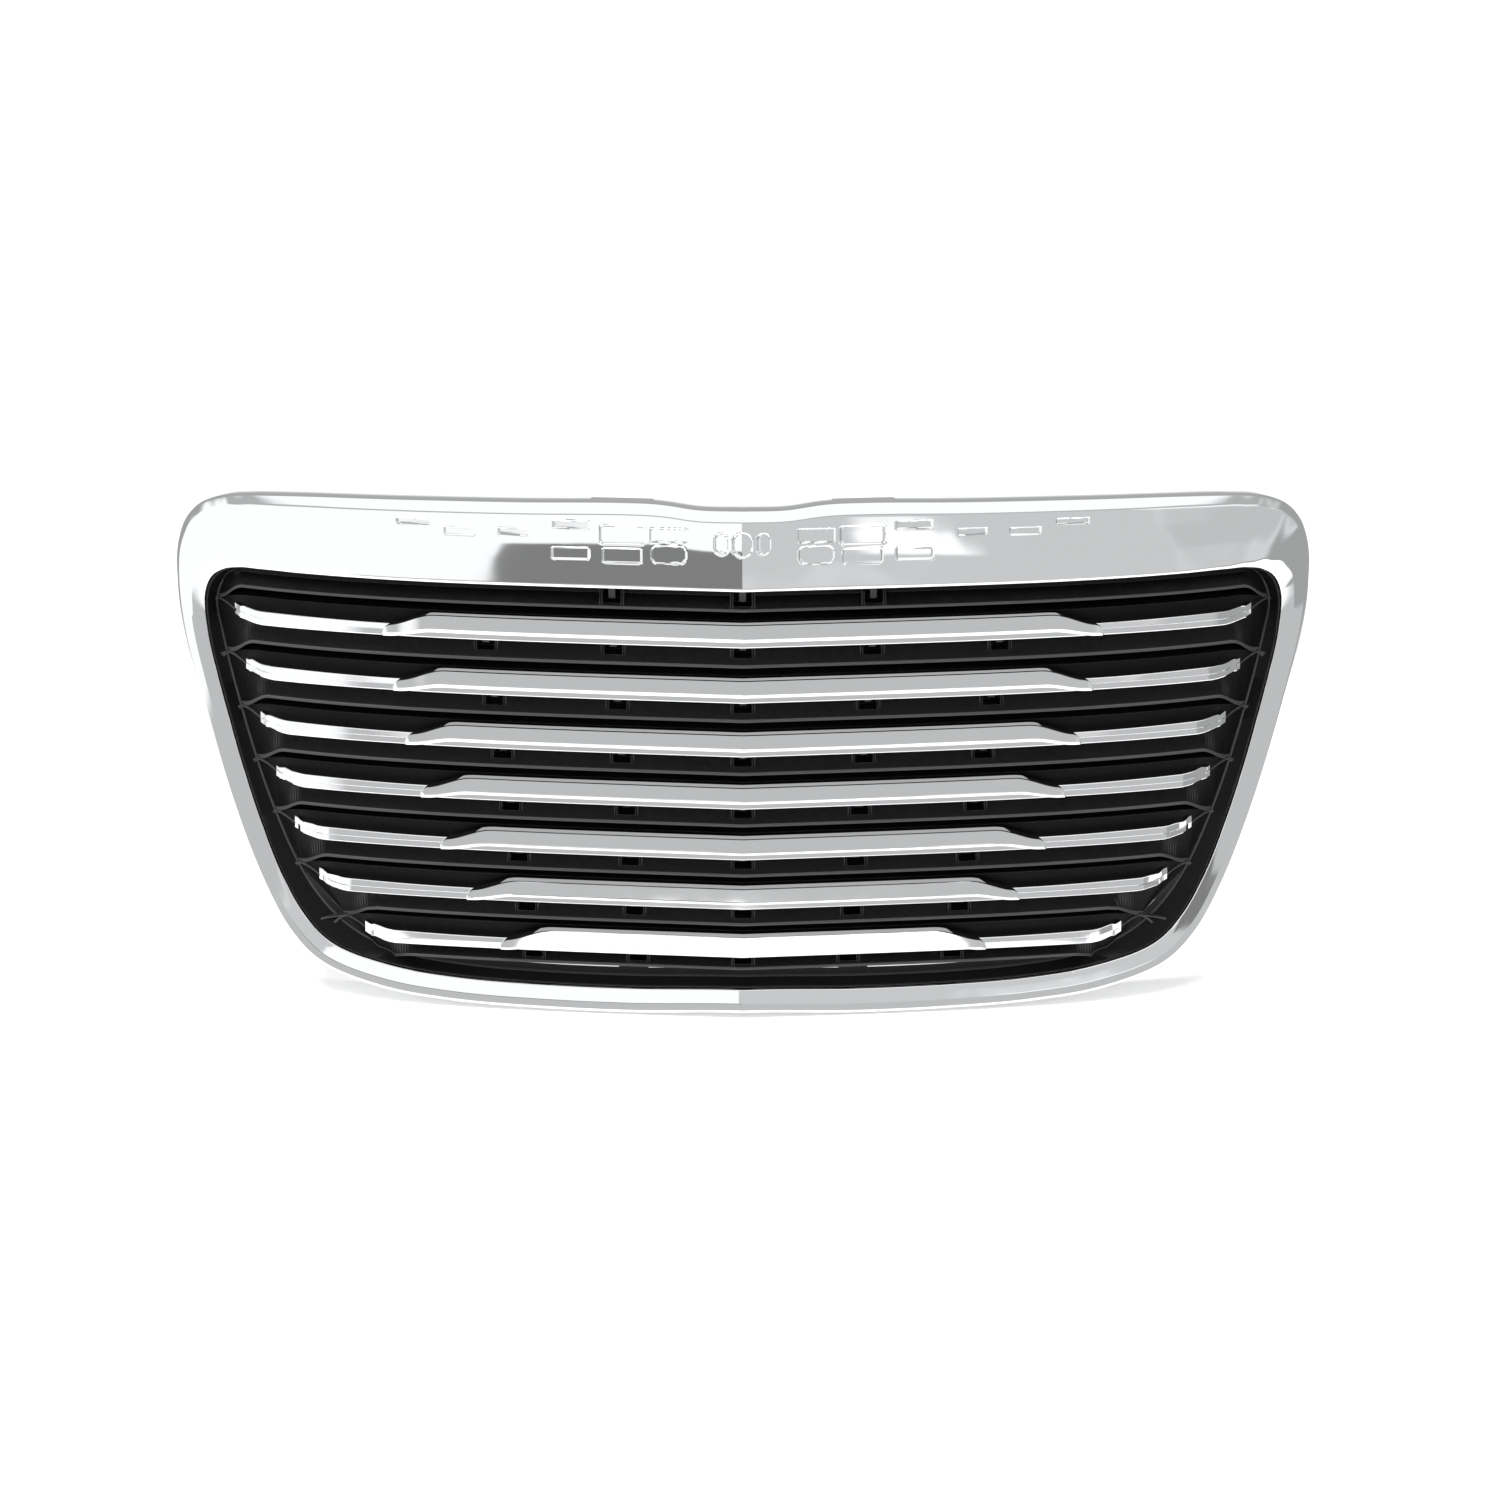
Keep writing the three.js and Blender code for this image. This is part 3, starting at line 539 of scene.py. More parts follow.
def bar_core(bm, n):
    """The thin bar that runs the whole length."""
    end = bar_end(n)
    sweep_start = end - BAR_SWEEP
    half = spread([0, sweep_start], 6)
    half += [sweep_start + d for d in (5, 9, 12, 15, 18, 20.5, 23, 26)]
    loft_faces(bm, [core_section(n, x) for x in both_sides(half)])


CAP_TIP = 0.84  # share of the shoulder where its top meets the thin bar's top


def cap_height(share):
    """Height of the cap along its shoulder: an S down to the thin bar, then cut off in a curve."""
    height = lerp(CAP_HEIGHT, THIN_FACE_HEIGHT, smooth(0, 0.92, share))
    if share > CAP_TIP:
        height *= math.sqrt(max(0, 1 - ((share - CAP_TIP) / (1 - CAP_TIP)) ** 2))
    return height + 0.15


def cap_section(n, x):
    """Section of the wide middle, whose shoulder runs down to a point at its lower edge."""
    start = wide_half(n) - SHOULDER_LEAD
    share = max(0, (abs(x) - start) / (SHOULDER_LENGTH + SHOULDER_LEAD))
    height = cap_height(share)
    crease = min(BAR_CREASE, height * 0.4)
    front = 0.9 * smooth(0, 0.8, share)
    lean = 2.1 * height / BAR_HEIGHT
    rear = 9 + front
    hang = lerp(-CAP_LIFT, THIN_BAR_DROP + 0.1, smooth(0.1, 0.9, share))
    low = bar_bottom(n) - hang
    outline = [
        (rear, low + height - 0.02), (front + lean + 0.9, low + height),
        (front + lean, low + height - min(0.5, 0.2 * height)),
        (front + 0.12, low + crease + 0.3 * min(1, height / 5)), (front, low + crease),
        (front + 0.3, low + crease * 0.86), (front + 1.3, low + 0.12 * crease),
        (front + 1.9, low), (rear, low + 0.01),
    ]
    return [place(x, offset, z) for offset, z in outline]


def bar_cap(bm, n):
    start = wide_half(n) - SHOULDER_LEAD
    length = SHOULDER_LENGTH + SHOULDER_LEAD
    half = spread([0, start], 6)
    half += [start + length * k / 30 for k in range(1, 28)]
    half += [start + length * share for share in (0.93, 0.96, 0.98, 0.992)]
    loft_faces(bm, [cap_section(n, x) for x in both_sides(half)])


# Outlines of the snap tabs: offset, and height over the chromed edge that they hang from.
TAB_HOOK = [(11.4, -8), (19.4, -8), (19.4, -5.6), (13.9, -5.6)]
BAR_TAB = [(11.4, 1.4), *TAB_HOOK, (13.9, 1.4)]
HEADER_TAB = [(2.6, 4), (11.4, 4), *TAB_HOOK, (13.9, 6.4), (2.9, 6.4)]


def prism(bm, x, z, width, outline):
    """A snap tab across the surface at x, from its outline of (offset, height above z)."""
    sides = [
        [place(x + side * width / 2, offset, z + height) for offset, height in outline]
        for side in (-1, 1)
    ]
    loft_faces(bm, sides, finishes=dict.fromkeys([*range(len(outline)), "ends"], BARE))


def bar_screw_x(n):
    return bar_end(n) - BAR_SCREW_IN


def bar_screw_z(n):
    return bar_bottom(n) - THIN_BAR_DROP + THIN_BAR_HEIGHT / 2


def make_bar(n):
    bm = bmesh.new()
    bar_core(bm, n)
    bar_cap(bm, n)
    for x in tab_xs(n, 2):
        prism(bm, x, bar_bottom(n), TAB_WIDTH, BAR_TAB)
    for side in (-1, 1):
        x = side * bar_screw_x(n)
        post(bm, x, bar_screw_z(n), SEAT_OFFSET + MOULDING, BOSS_R, BAR_BOSS)
    return finish_mesh(bm, f"bar_{n + 1}", 9)


# ---------------------------------------------------------------- black insert


def insert_section(station, side):
    outer, inner, rib, _ = station
    outward = (Vector(outer) - Vector(inner)).normalized()

    def at(point, out, offset):
        return place(side * (point[0] + outward.x * out), offset, point[1] + outward.y * out)

    return [
        at(inner, FLANGE_WIDTH, FLANGE_FRONT), at(inner, 0.5, FLANGE_FRONT),
        at(inner, -0.3, 10.6), at(inner, -0.8, 10), at(inner, -1.6, 10.4),
        at(rib, 1.1, RIB_OFFSET - 1.2), at(rib, 0.2, RIB_OFFSET - 0.6), at(rib, 0, RIB_OFFSET + 1),
        at(rib, 0, SHELF_OFFSET), at(rib, MOULDING, SHELF_OFFSET),
        at(rib, MOULDING, RIB_OFFSET + 2), at(inner, 1.5, FLANGE_FRONT + MOULDING),
        at(inner, FLANGE_WIDTH, FLANGE_FRONT + MOULDING),
    ]


def louver_ends(n):
    top = (416, 117) if n == 0 else (RIB_HALF_WIDTHS[n - 1], bar_middle(n - 1))
    lip = (RIB_HALF_WIDTHS[n], -200 if n == BAR_COUNT else bar_middle(n))
    return top, lip


def louver_section(n, x):
    (top_x, top_z), (lip_x, lip_z) = louver_ends(n)
    wall_top = HEADER_UNDERSIDE - 0.8 if n == 0 else bar_bottom(n - 1) + BAR_HEIGHT - 0.8
    wall_low = HEADER_UNDERSIDE - 4 if n == 0 else bar_bottom(n - 1) - WALL_BELOW_BAR
    side = 1 if x > 0 else -1
    bend_top = smooth(top_x - LIP_BEND, top_x, abs(x))
    bend_lip = smooth(lip_x - LIP_BEND, lip_x, abs(x))
    tx = side * min(abs(x), top_x + 0.9)
    lx = side * min(abs(x), lip_x + 1.7)
    seat = lerp(SEAT_OFFSET, RIB_OFFSET, bend_top)
    lip = lerp(LIP_OFFSET, RIB_OFFSET, bend_lip)
    top = lerp(wall_top, top_z + 2, bend_top)
    low_wall = min(lerp(wall_low, top_z - 3, bend_top), top - MOULDING - 0.5)
    low = lerp(lip_middle(n), lip_z + 1, bend_lip)
    half_lip = LIP_HEIGHT / 2
    rib_front = SHELF_OFFSET - SHELF_RIB_WIDTH
    near = 0.05  # where the apron's last strip begins, as a share of the way up from the lip
    by_lip = (lerp(lx, tx, near), lerp(lip, seat, near) + 0.7, lerp(low + half_lip, low_wall, near))
    return [
        place(tx, seat + 0.5, top), place(tx, seat, top - 0.5), place(tx, seat, low_wall),
        place(*by_lip),
        place(lx, lip + 0.6, low + half_lip + 0.1),
        place(lx, lip + 0.1, low + half_lip - 0.2), place(lx, lip, low),
        place(lx, lip + 0.3, low - half_lip), place(lx, lip + MOULDING, low - half_lip),
        place(tx, seat + MOULDING, low_wall - 1), place(tx, seat + MOULDING, top - MOULDING),
        place(tx, SHELF_OFFSET, top - MOULDING), place(tx, SHELF_OFFSET, top + SHELF_RIB),
        place(tx, rib_front, top + SHELF_RIB), place(tx, rib_front, top),
    ]


def window_places(n):
    """Places (x, lowest z, highest z) of the snap tabs' windows in louver n."""
    top = 128.5 if n == 0 else bar_bottom(n - 1) - 0.8
    full = (HEADER_UNDERSIDE if n == 0 else bar_bottom(n - 1)) - WINDOW_HEIGHT - 0.8
    low = max(full, lip_middle(n) + LIP_MARGIN)
    return [(x, low, top) for x in tab_xs(max(n - 1, 0), 1 if n == 0 else 2)]


def window_blocks(n):
    """Tools that cut the windows."""
    bm = bmesh.new()
    for x, low, top in window_places(n):
        block(bm, x, (top + low) / 2, WINDOW_WIDTH, top - low, -2, WINDOW_REAR + 6)
    return finish_mesh(bm, "windows")


def apron_offset(n, z):
    """Offset of the front of louver n at height z on its apron."""
    wall = HEADER_UNDERSIDE - 4 if n == 0 else bar_bottom(n - 1) - WALL_BELOW_BAR
    lip_top = lip_middle(n) + LIP_HEIGHT / 2
    return lerp(LIP_OFFSET, SEAT_OFFSET, (min(z, wall) - lip_top) / (wall - lip_top))


def tray(bm, n, x, low, top):
    """The housing behind a window, a box open to the front."""
    wall = HOUSING_WALL
    half = WINDOW_WIDTH / 2
    high = top + 0.4
    rear = WINDOW_REAR

    def wedge(x0, x1, z0, z1, back):
        f0, f1 = apron_offset(n, z0) + 1.2, apron_offset(n, z1) + 1.2
        loft_faces(bm, [
            [place(px, min(f0, back - 1), z0), place(px, min(f1, back - 1), z1),
             place(px, back, z1), place(px, back, z0)]
            for px in (x + x0, x + x1)
        ])

    wedge(-half - wall, -half, low - wall, high, rear + wall)
    wedge(half, half + wall, low - wall, high, rear + wall)
    wedge(-half - 0.5, half + 0.5, low - wall + 0.05, low, rear + wall - 0.05)
    block(bm, x, (low + high) / 2, WINDOW_WIDTH + 1, high - low - 0.1, rear, rear + wall - 0.1)


# Strips of louver_section(): its lip from 3 to 6, which takes a painted highlight, the shelf's
# upstand from 12 to 14, which takes painted shade.
LOUVER_FINISHES = {**dict.fromkeys((3, 4, 5, 6), EDGE_HIGHLIGHT), **dict.fromkeys((12, 13, 14), DEEP_SHADE)}


def make_louver(n):
    (top_x, _), (lip_x, _) = louver_ends(n)
    end = max(top_x + 0.9, lip_x + 1.7)
    half = spread([0, end - 60], 10) + spread([end - 60, end], 2.5)[1:]
    sections = [louver_section(n, x) for x in both_sides(half)]
    louver = lofted(f"louver_{n}", sections, finishes=LOUVER_FINISHES)
    cut(louver, window_blocks(n))
    bm = bmesh.new()
    for x, low, top in window_places(n):
        tray(bm, n, x, low, top)
    join(louver, [finish_mesh(bm, "trays")])
    return louver


def web(bm, n, side, reach, drop, thick, rise):
    """A thin web from rib node n sideways by reach, falling by drop and coming forward by rise."""
    z = bar_middle(n)
    x = RIB_HALF_WIDTHS[n]
    sections = []
    for k in range(9):
        t = k / 8
        px = side * (x + reach * t)
        pz = z - drop * t ** 1.6
        front = RIB_OFFSET - 0.8 - rise * t
        sections.append([
            place(px, front, pz + thick), place(px, front, pz - thick),
            place(px, front + 5, pz - thick), place(px, front + 5, pz + thick),
        ])
    # The web's front strip and ends take the painted highlight.
    loft_faces(bm, sections, finishes={0: EDGE_HIGHLIGHT, "ends": EDGE_HIGHLIGHT})


# How far the outward webs reach at each rib node, from the top.
WEB_REACHES = (7, 7.5, 9.5, 9.5, 12, 17, 20)


def node_webs():
    """At each rib node: a level web and a curved gusset outward, and a web in to the bar's end."""
    bm = bmesh.new()
    for n, reach in enumerate(WEB_REACHES):
        for side in (-1, 1):
            web(bm, n, side, reach, 0.1 * reach, 0.5, 7.5)
            web(bm, n, side, reach, 0.95 * reach, 0.9, 7.5)
            web(bm, n, side, -BAR_END_SHORT_OF_RIB - 1, 8, 0.55, 4.5)
    return finish_mesh(bm, "webs")


def square_block(bm, x, low, high, width):
    """A box square to the frame from styling corners low to high, each (depth, z) past x."""
    y0, z0 = low
    y1, z1 = high
    corners = []
    for y in (y0, y1):
        for sx, z in ((-1, z0), (1, z0), (1, z1), (-1, z1)):
            at = place(0, 0, z)
            corners.append(bm.verts.new((
                (x + sx * width / 2) * MM, BAR_1_FRONT + y * MM, at.z)))
    add_box_faces(bm, corners)


def drilled_tab(name, x, front, rear, z, width, thickness, hole_r, hole_in):
    """A flat fixing tab square to the frame, with a hole near its rear edge."""
    bm = bmesh.new()
    square_block(bm, x, (front, z - thickness / 2), (rear, z + thickness / 2), width)
    tab = finish_mesh(bm, name)
    bm = bmesh.new()
    centre = place(0, 0, z)
    at = Vector((x * MM, BAR_1_FRONT + (rear - hole_in) * MM, centre.z))
    bmesh.ops.create_cone(
        bm, cap_ends=True, segments=40, radius1=hole_r * MM, radius2=hole_r * MM,
        depth=0.02, matrix=Matrix.Translation(at))
    cut(tab, finish_mesh(bm, "hole"))
    return tab


def surface_frame(x, z, offset):
    """Matrix at a place on the surface: Z points out to the front."""
    along = (place(x + 2, offset, z) - place(x - 2, offset, z)).normalized()
    out = along.cross(Vector((0, 0, 1))).normalized()
    up = out.cross(along)
    matrix = Matrix((along, up, out)).transposed().to_4x4()
    matrix.translation = place(x, offset, z)
    return matrix


def post(bm, x, z, seat, radius, length):
    """A round boss from its seat towards the front."""
    at = surface_frame(x, z, seat) @ Matrix.Translation((0, 0, length * MM / 2))
    bmesh.ops.create_cone(
        bm, cap_ends=True, segments=32, radius1=radius * MM, radius2=radius * MM,
        depth=length * MM, matrix=at)


def join(target, parts):
    """Moves the faces of parts into target's mesh."""
    bm = bmesh.new()
    bm.from_mesh(target.data)
    for part in parts:
        bm.from_mesh(part.data)
        bpy.data.objects.remove(part)
    bm.to_mesh(target.data)
    bm.free()


def make_insert():
    ring = ring_of(perimeter(8, 4), insert_section)
    # Strips 5 and 6 along the rib line take the painted highlight.
    insert = lofted("insert", ring, ring=True, finishes={5: EDGE_HIGHLIGHT, 6: EDGE_HIGHLIGHT})
    parts = [make_louver(n) for n in range(BAR_COUNT + 1)]
    parts.append(node_webs())
    for side in (-1, 1):
        for x in LOWER_TAB_XS:
            depth = surface_y(x, LOWER_TAB_Z)
            parts.append(drilled_tab(
                "lower_tab", side * x, depth + RIB_OFFSET + 2, depth + LOWER_TAB_REAR,
                LOWER_TAB_Z, LOWER_TAB_WIDTH, MOULDING, LOWER_TAB_HOLE_R, LOWER_TAB_HOLE_IN))
    join(insert, parts)
    soften(insert, 32)
    return insert


# ---------------------------------------------------------------- fasteners

SCREW_PROFILE = [  # radius and distance from the head's seat, from the crown to the point
    (0, -2.4), (1.6, -2.35), (2.7, -2.05), (3.5, -1.5), (3.95, -0.75), (4, -0.2), (3.85, 0),
    (1.5, 0), (1.5, 6.5), (1.2, 7.1), (0, 8),
]
SCREW_SIDES = 28
HEAD_GAP = 0.5
NUT_WIDTH = 14
NUT_STRIP = 0.9
NUT_PLACES = [side * x for x in TOP_TAB_XS for side in (-1, 1)]


def screw_mesh():
    """A pan-head screw along Z with a cross recess, its head towards -Z."""
    bm = bmesh.new()
    rows = []
    for radius, along in SCREW_PROFILE:
        if radius == 0:
            rows.append([bm.verts.new((0, 0, along * MM))])
            continue
        angles = [2 * math.pi * k / SCREW_SIDES for k in range(SCREW_SIDES)]
        rows.append([
            bm.verts.new((radius * MM * math.cos(a), radius * MM * math.sin(a), along * MM))
            for a in angles])
    for a, b in zip(rows, rows[1:]):
        for i in range(SCREW_SIDES):
            j = (i + 1) % SCREW_SIDES
            corners = [a[i % len(a)], a[j % len(a)], b[j % len(b)], b[i % len(b)]]
            bm.faces.new(dict.fromkeys(corners))
    screw = finish_mesh(bm, "screw", 40)
    for width, height in ((4.2, 0.8), (0.8, 4.2)):
        bm = bmesh.new()
        size = Matrix.Diagonal((width * MM, height * MM, 3 * MM, 1))
        at = Matrix.Translation((0, 0, -2.7 * MM))
        bmesh.ops.create_cube(bm, size=1, matrix=at @ size)
        cut(screw, finish_mesh(bm, "recess"))
    soften(screw, 40)
    mesh = screw.data
    bpy.data.objects.remove(screw)
    return mesh


def make_screws(materials):
    mesh = screw_mesh()
    places = [(f"surround_screw_{i + 1}", x, z, FLANGE_FRONT + MOULDING)
              for i, (x, z) in enumerate(boss_places())]
    for n in range(BAR_COUNT):
        for side, word in ((-1, "left"), (1, "right")):
            name = f"bar_{n + 1}_screw_{word}"
            places.append((name, side * bar_screw_x(n), bar_screw_z(n), SEAT_OFFSET + MOULDING))
    for name, x, z, seat in places:
        screw = bpy.data.objects.new(f"look_{name}", mesh)
        bpy.context.scene.collection.objects.link(screw)
        screw.matrix_world = surface_frame(x, z, seat) @ Matrix.Translation((0, 0, -HEAD_GAP * MM))
        dress(screw, materials, "zinc", name)


def make_nut(x):
    """A folded strip clipped over a top tab, with softly bent corners."""
    half = MOULDING / 2 + 0.3
    strip = NUT_STRIP
    back = 2.5
    outline = [
        (-22, half), (back - 0.5, half), (back, half - 0.5), (back, -half + 0.5),
        (back - 0.5, -half), (-20, -half), (-20, -half - strip), (back + 0.1, -half - strip),
        (back + strip, -half - 0.1), (back + strip, half + 0.1), (back + 0.1, half + strip),
        (-22, half + strip),
    ]
    rear = surface_y(x, TOP_TAB_Z) + TOP_TAB_REAR
    middle = place(0, 0, TOP_TAB_Z).z
    sections = [[
        Vector(((x + side * NUT_WIDTH / 2) * MM, BAR_1_FRONT + (rear + y) * MM, middle + z * MM))
        for y, z in outline] for side in (-1, 1)]
    nut = lofted("spring_nut", sections)
    bm = bmesh.new()
    at = Vector((x * MM, BAR_1_FRONT + (rear - TOP_TAB_HOLE_IN) * MM, middle))
    radius = (TOP_TAB_HOLE_R - 0.6) * MM
    bmesh.ops.create_cone(
        bm, cap_ends=True, segments=32, radius1=radius, radius2=radius, depth=0.02,
        matrix=Matrix.Translation(at))
    cut(nut, finish_mesh(bm, "hole"))
    return nut


# ---------------------------------------------------------------- materials


def new_material(name):
    material = bpy.data.materials.new(name)
    material.use_nodes = True
    nodes = material.node_tree.nodes
    return material, nodes, material.node_tree.links, nodes["Principled BSDF"]


def noise(nodes, links, coords, scale, detail=2):
    node = nodes.new("ShaderNodeTexNoise")
    node.inputs["Scale"].default_value = scale
    node.inputs["Detail"].default_value = detail
    links.new(coords, node.inputs["Vector"])
    return node.outputs["Fac"]


def ranged(nodes, links, value, low, high):
    node = nodes.new("ShaderNodeMapRange")
    node.inputs["To Min"].default_value = low
    node.inputs["To Max"].default_value = high
    links.new(value, node.inputs["Value"])
    return node.outputs["Result"]


def bumped(nodes, links, height, strength, distance, shader):
    node = nodes.new("ShaderNodeBump")
    node.inputs["Strength"].default_value = strength
    node.inputs["Distance"].default_value = distance
    links.new(height, node.inputs["Height"])
    links.new(node.outputs["Normal"], shader.inputs["Normal"])


def object_coords(nodes):
    return nodes.new("ShaderNodeTexCoord").outputs["Object"]


def chrome_material():
    """Bright plating with the slight waviness of the moulding under it."""
    material, nodes, links, shader = new_material("bright_chrome")
    coords = object_coords(nodes)
    shader.inputs["Base Color"].default_value = (0.86, 0.87, 0.88, 1)
    shader.inputs["Metallic"].default_value = 1
    haze = noise(nodes, links, coords, 60, 4)
    links.new(ranged(nodes, links, haze, 0.03, 0.075), shader.inputs["Roughness"])
    waves = noise(nodes, links, coords, 26, 1)
    bumped(nodes, links, waves, 0.12, 0.002, shader)
    return material


def highlight_mask(nodes, links):
    """1 along edges, where the plastic takes a painted highlight, and 0 on flat faces."""
    bevel = nodes.new("ShaderNodeBevel")
    bevel.samples = 6
    bevel.inputs["Radius"].default_value = 0.0009
    geometry = nodes.new("ShaderNodeNewGeometry")
    dot = nodes.new("ShaderNodeVectorMath")
    dot.operation = "DOT_PRODUCT"
    links.new(bevel.outputs["Normal"], dot.inputs[0])
    links.new(geometry.outputs["True Normal"], dot.inputs[1])
    mask = nodes.new("ShaderNodeMapRange")
    mask.inputs["From Min"].default_value = 0.97
    mask.inputs["From Max"].default_value = 0.85
    links.new(dot.outputs["Value"], mask.inputs["Value"])
    return mask.outputs["Result"]


def plastic_material():
    """Satin black moulded plastic with a fine grain, and a lighter colour along its edges that is a
    painted highlight.
    """
    material, nodes, links, shader = new_material("black_plastic")
    coords = object_coords(nodes)
    tone = nodes.new("ShaderNodeMix")
    tone.data_type = "RGBA"
    tone.inputs["A"].default_value = (0.0035, 0.0035, 0.004, 1)
    tone.inputs["B"].default_value = (0.008, 0.008, 0.0085, 1)
    links.new(noise(nodes, links, coords, 300, 3), tone.inputs["Factor"])
    # Lighter base colour along the edges: a painted highlight.
    highlight_tone = nodes.new("ShaderNodeMix")
    highlight_tone.data_type = "RGBA"
    highlight_tone.inputs["B"].default_value = (0.11, 0.11, 0.115, 1)
    links.new(highlight_mask(nodes, links), highlight_tone.inputs["Factor"])
    links.new(tone.outputs["Result"], highlight_tone.inputs["A"])
    links.new(highlight_tone.outputs["Result"], shader.inputs["Base Color"])
    shader.inputs["Specular IOR Level"].default_value = 0.09
    rough = noise(nodes, links, coords, 90, 3)
    links.new(ranged(nodes, links, rough, 0.34, 0.5), shader.inputs["Roughness"])
    grain = noise(nodes, links, coords, 2400, 2)
    bumped(nodes, links, grain, 0.35, 0.0002, shader)
    return material


def lip_material():
    """The same plastic along its thin free edges, in a light grey that is a painted highlight."""
    material, nodes, links, shader = new_material("black_plastic_edge_highlight")
    rough = noise(nodes, links, object_coords(nodes), 60, 3)
    links.new(ranged(nodes, links, rough, 0.4, 0.55), shader.inputs["Roughness"])
    # Light grey base colour: a painted highlight on the thin edges.
    shader.inputs["Base Color"].default_value = (0.07, 0.07, 0.073, 1)
    shader.inputs["Specular IOR Level"].default_value = 0.03
    return material


def deep_plastic_material():
    """The same plastic on faces deep inside, rough as the mould left it, and darker with less shine
    as painted shade.
    """
    material, nodes, links, shader = new_material("black_plastic_rough_shade")
    rough = noise(nodes, links, object_coords(nodes), 400, 3)
    links.new(ranged(nodes, links, rough, 0.8, 1), shader.inputs["Roughness"])
    # Near-black base colour and low specular: painted shade on the shelf's upstand.
    shader.inputs["Base Color"].default_value = (0.0015, 0.0015, 0.0017, 1)
    shader.inputs["Specular IOR Level"].default_value = 0.02
    return material


def bare_plastic_material():
    """Plastic that the plating has not reached, on the snap tabs."""
    material, nodes, links, shader = new_material("bare_plastic")
    rough = noise(nodes, links, object_coords(nodes), 200, 2)
    links.new(ranged(nodes, links, rough, 0.45, 0.6), shader.inputs["Roughness"])
    shader.inputs["Base Color"].default_value = (0.03, 0.03, 0.032, 1)
    return material


def steel_material(name, colour, low, high):
    material, nodes, links, shader = new_material(name)
    coords = object_coords(nodes)
    shader.inputs["Metallic"].default_value = 1
    dark = [c * 0.75 for c in colour]
    tone = nodes.new("ShaderNodeMix")
    tone.data_type = "RGBA"
    tone.inputs["A"].default_value = (*dark, 1)
    tone.inputs["B"].default_value = (*colour, 1)
    links.new(noise(nodes, links, coords, 700, 3), tone.inputs["Factor"])
    links.new(tone.outputs["Result"], shader.inputs["Base Color"])
    rough = noise(nodes, links, coords, 1500, 2)
    links.new(ranged(nodes, links, rough, low, high), shader.inputs["Roughness"])
    return material


# ---------------------------------------------------------------- camera, light and floor

CAMERA_TILT = math.radians(20)
CAMERA_DISTANCE = 1350
CAMERA_X = 5.5
LENS = 42.67


def make_camera():
    data = bpy.data.cameras.new("camera")
    data.lens = LENS
    data.sensor_width = 36
    data.clip_end = 100
    camera = bpy.data.objects.new("camera", data)
    bpy.context.scene.collection.objects.link(camera)
    prow = place(0, 0, 0)
    back = Vector((0, -math.cos(CAMERA_TILT), math.sin(CAMERA_TILT)))
    camera.location = prow + back * CAMERA_DISTANCE * MM + Vector((CAMERA_X * MM, 0, 0))
    camera.rotation_euler = (math.pi / 2 - CAMERA_TILT, 0, 0)
    bpy.context.scene.camera = camera


# The surroundings by direction: middle and half width in azimuth from the front (radians), edge
# softness, lowest and highest sine of the elevation, and brightness. Later ones go over earlier.
WHITE = 1.15
PANELS = [
    (0, 4, 0.03, 0.6, 0.72, 0.5),
    (math.pi, 1.4, 0.1, 0.1, 1.2, 0.45),
    (-math.pi, 1.4, 0.1, 0.1, 1.2, 0.45),
    (2.0, 0.6, 0.1, -0.3, 0.6, 0.4),
    (-2.2, 0.45, 0.1, -0.3, 0.6, 0.4),
    (1.2, 0.4, 0.1, 0.15, 0.5, 0.6),
    (1.15, 0.45, 0.04, -0.3, 0.15, 0.4),
    (0.13, 0.82, 0.03, -0.2, 0.165, 0.58),
    (0.35, 0.5, 0.02, 0.165, 0.62, 0.66),
    (-0.24, 0.2, 0.01, 0.125, 0.34, 0.24),
    (0.36, 0.05, 0.02, 0.24, 0.45, 1.3),
]


class Formula:
    """Short calls that add math nodes to a node tree."""

    def __init__(self, tree):
        self.tree = tree

    def __call__(self, operation, *values):
        node = self.tree.nodes.new("ShaderNodeMath")
        node.operation = operation
        for socket, value in zip(node.inputs, values):
            self.feed(socket, value)
        return node.outputs[0]

    def feed(self, socket, value):
        if isinstance(value, (int, float)):
            socket.default_value = value
        else:
            self.tree.links.new(value, socket)

    def split(self, vector):
        node = self.tree.nodes.new("ShaderNodeSeparateXYZ")
        self.tree.links.new(vector, node.inputs[0])
        return node.outputs[:3]

    def ramp(self, value, low, high):
        node = self.tree.nodes.new("ShaderNodeMapRange")
        node.interpolation_type = "SMOOTHSTEP"
        self.feed(node.inputs["Value"], value)
        node.inputs["From Min"].default_value = low
        node.inputs["From Max"].default_value = high
        return node.outputs[0]

    def band(self, value, low, high, edge):
        rise = self.ramp(value, low - edge, low + edge)
        fall = self.ramp(value, high - edge, high + edge)
        return self("SUBTRACT", rise, fall)

    def mix(self, a, b, share):
        step = self("SUBTRACT", b, a)
        return self("MULTIPLY_ADD", step, share, a)


def area_light(name, location, target, size, energy):
    data = bpy.data.lights.new(name, "AREA")
    data.shape = "RECTANGLE"
    data.size, data.size_y = size
    data.energy = energy
    light = bpy.data.objects.new(name, data)
    light.location = location
    light.visible_glossy = False
    light.rotation_euler = (Vector(target) - Vector(location)).to_track_quat("-Z", "Y").to_euler()
    bpy.context.scene.collection.objects.link(light)


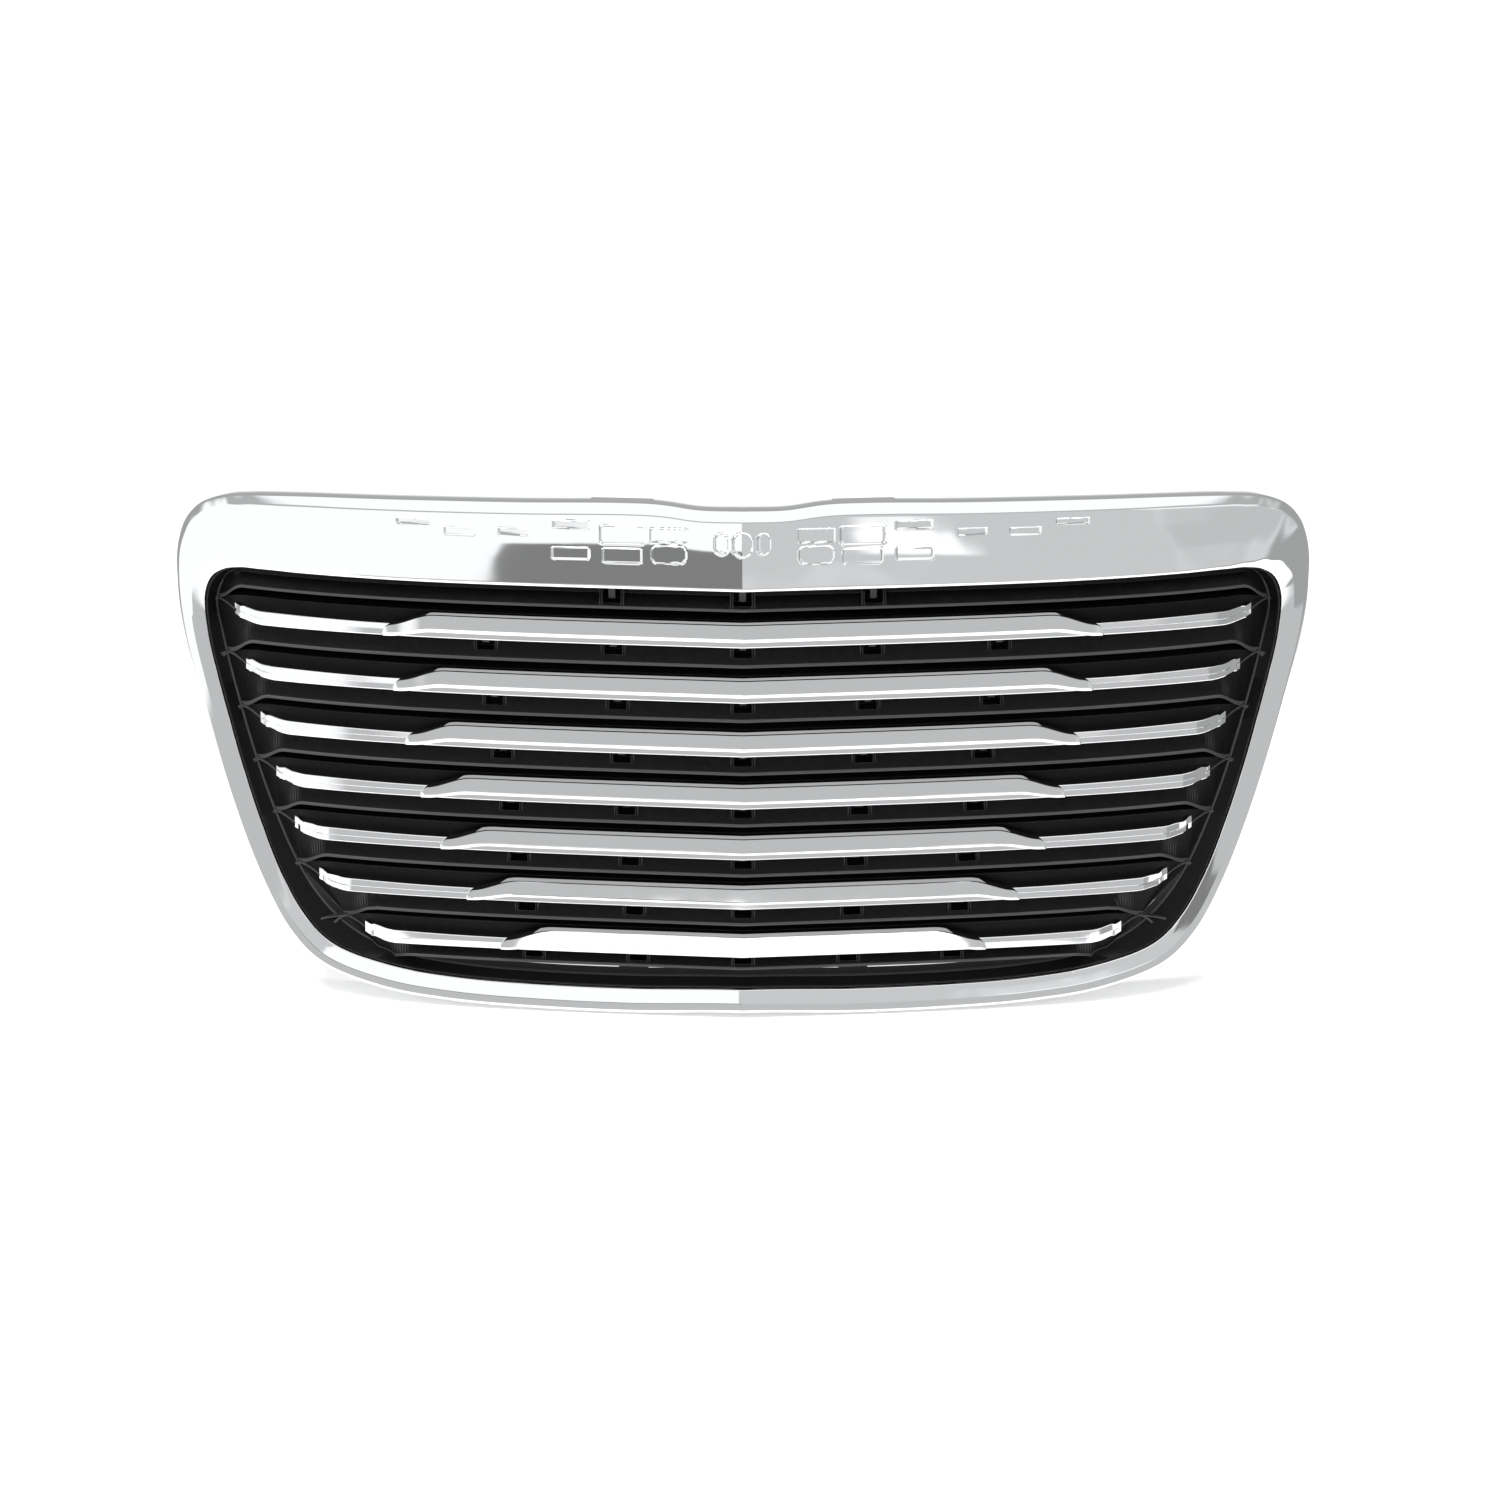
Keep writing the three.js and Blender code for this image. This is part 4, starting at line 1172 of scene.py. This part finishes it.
def make_world():
    """Soft surroundings: white panels and grey ones for the chrome, and a plain white backdrop."""
    world = bpy.data.worlds.new("studio")
    world.use_nodes = True
    tree = world.node_tree
    math_node = Formula(tree)
    x, y, z = math_node.split(tree.nodes.new("ShaderNodeTexCoord").outputs["Generated"])
    front = math_node("MULTIPLY", y, -1)
    azimuth = math_node("ARCTAN2", x, front)
    level = WHITE
    for centre, half, edge, low, high, tone in PANELS:
        across = math_node.band(azimuth, centre - half, centre + half, edge)
        up = math_node.band(z, low, high, edge)
        share = math_node("MULTIPLY", across, up)
        level = math_node.mix(level, tone, share)
    seen = tree.nodes.new("ShaderNodeLightPath").outputs["Is Camera Ray"]
    backdrop = math_node.mix(level, WHITE, seen)
    tree.links.new(backdrop, tree.nodes["Background"].inputs["Color"])
    bpy.context.scene.world = world


def make_floor():
    bm = bmesh.new()
    bmesh.ops.create_circle(bm, cap_ends=True, segments=96, radius=1.2)
    floor = finish_mesh(bm, "floor")
    floor.location.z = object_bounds()[0][2] - 0.001
    material, _, _, shader = new_material("floor_paper")
    shader.inputs["Base Color"].default_value = (0.92, 0.92, 0.92, 1)
    shader.inputs["Roughness"].default_value = 0.9
    shader.inputs["Emission Color"].default_value = (1, 1, 1, 1)
    shader.inputs["Emission Strength"].default_value = 0.2
    floor.data.materials.append(material)


# ---------------------------------------------------------------- assembly


def dress(obj, materials, slot_name, *nodes):
    """Gives obj its materials, which its faces pick by index, and puts it in the frame."""
    for material in materials:
        obj.data.materials.append(material)
    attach(obj, "root")
    if nodes:
        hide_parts(*nodes)


def main():
    bpy.context.scene.view_settings.view_transform = "Standard"
    chrome = [chrome_material(), bare_plastic_material()]
    plastic = [plastic_material(), lip_material(), deep_plastic_material()]
    zinc = steel_material("zinc_plate", (0.68, 0.67, 0.62), 0.25, 0.4)
    spring = steel_material("spring_steel", (0.2, 0.2, 0.22), 0.3, 0.45)
    dress(make_surround(), chrome, "chrome", "chrome_surround")
    for n in range(BAR_COUNT):
        dress(make_bar(n), chrome, "chrome", f"chrome_bar_{n + 1}")
    dress(make_insert(), plastic, "black_plastic", "louver_insert")
    make_screws([zinc])
    for i, x in enumerate(NUT_PLACES):
        dress(make_nut(x), [spring], "spring_steel", f"spring_nut_{i + 1}")
    make_floor()
    make_world()
    area_light("key", (-0.6, -0.4, 3.4), (0, 0, 0), (2.4, 2.4), 170)
    make_camera()


main()
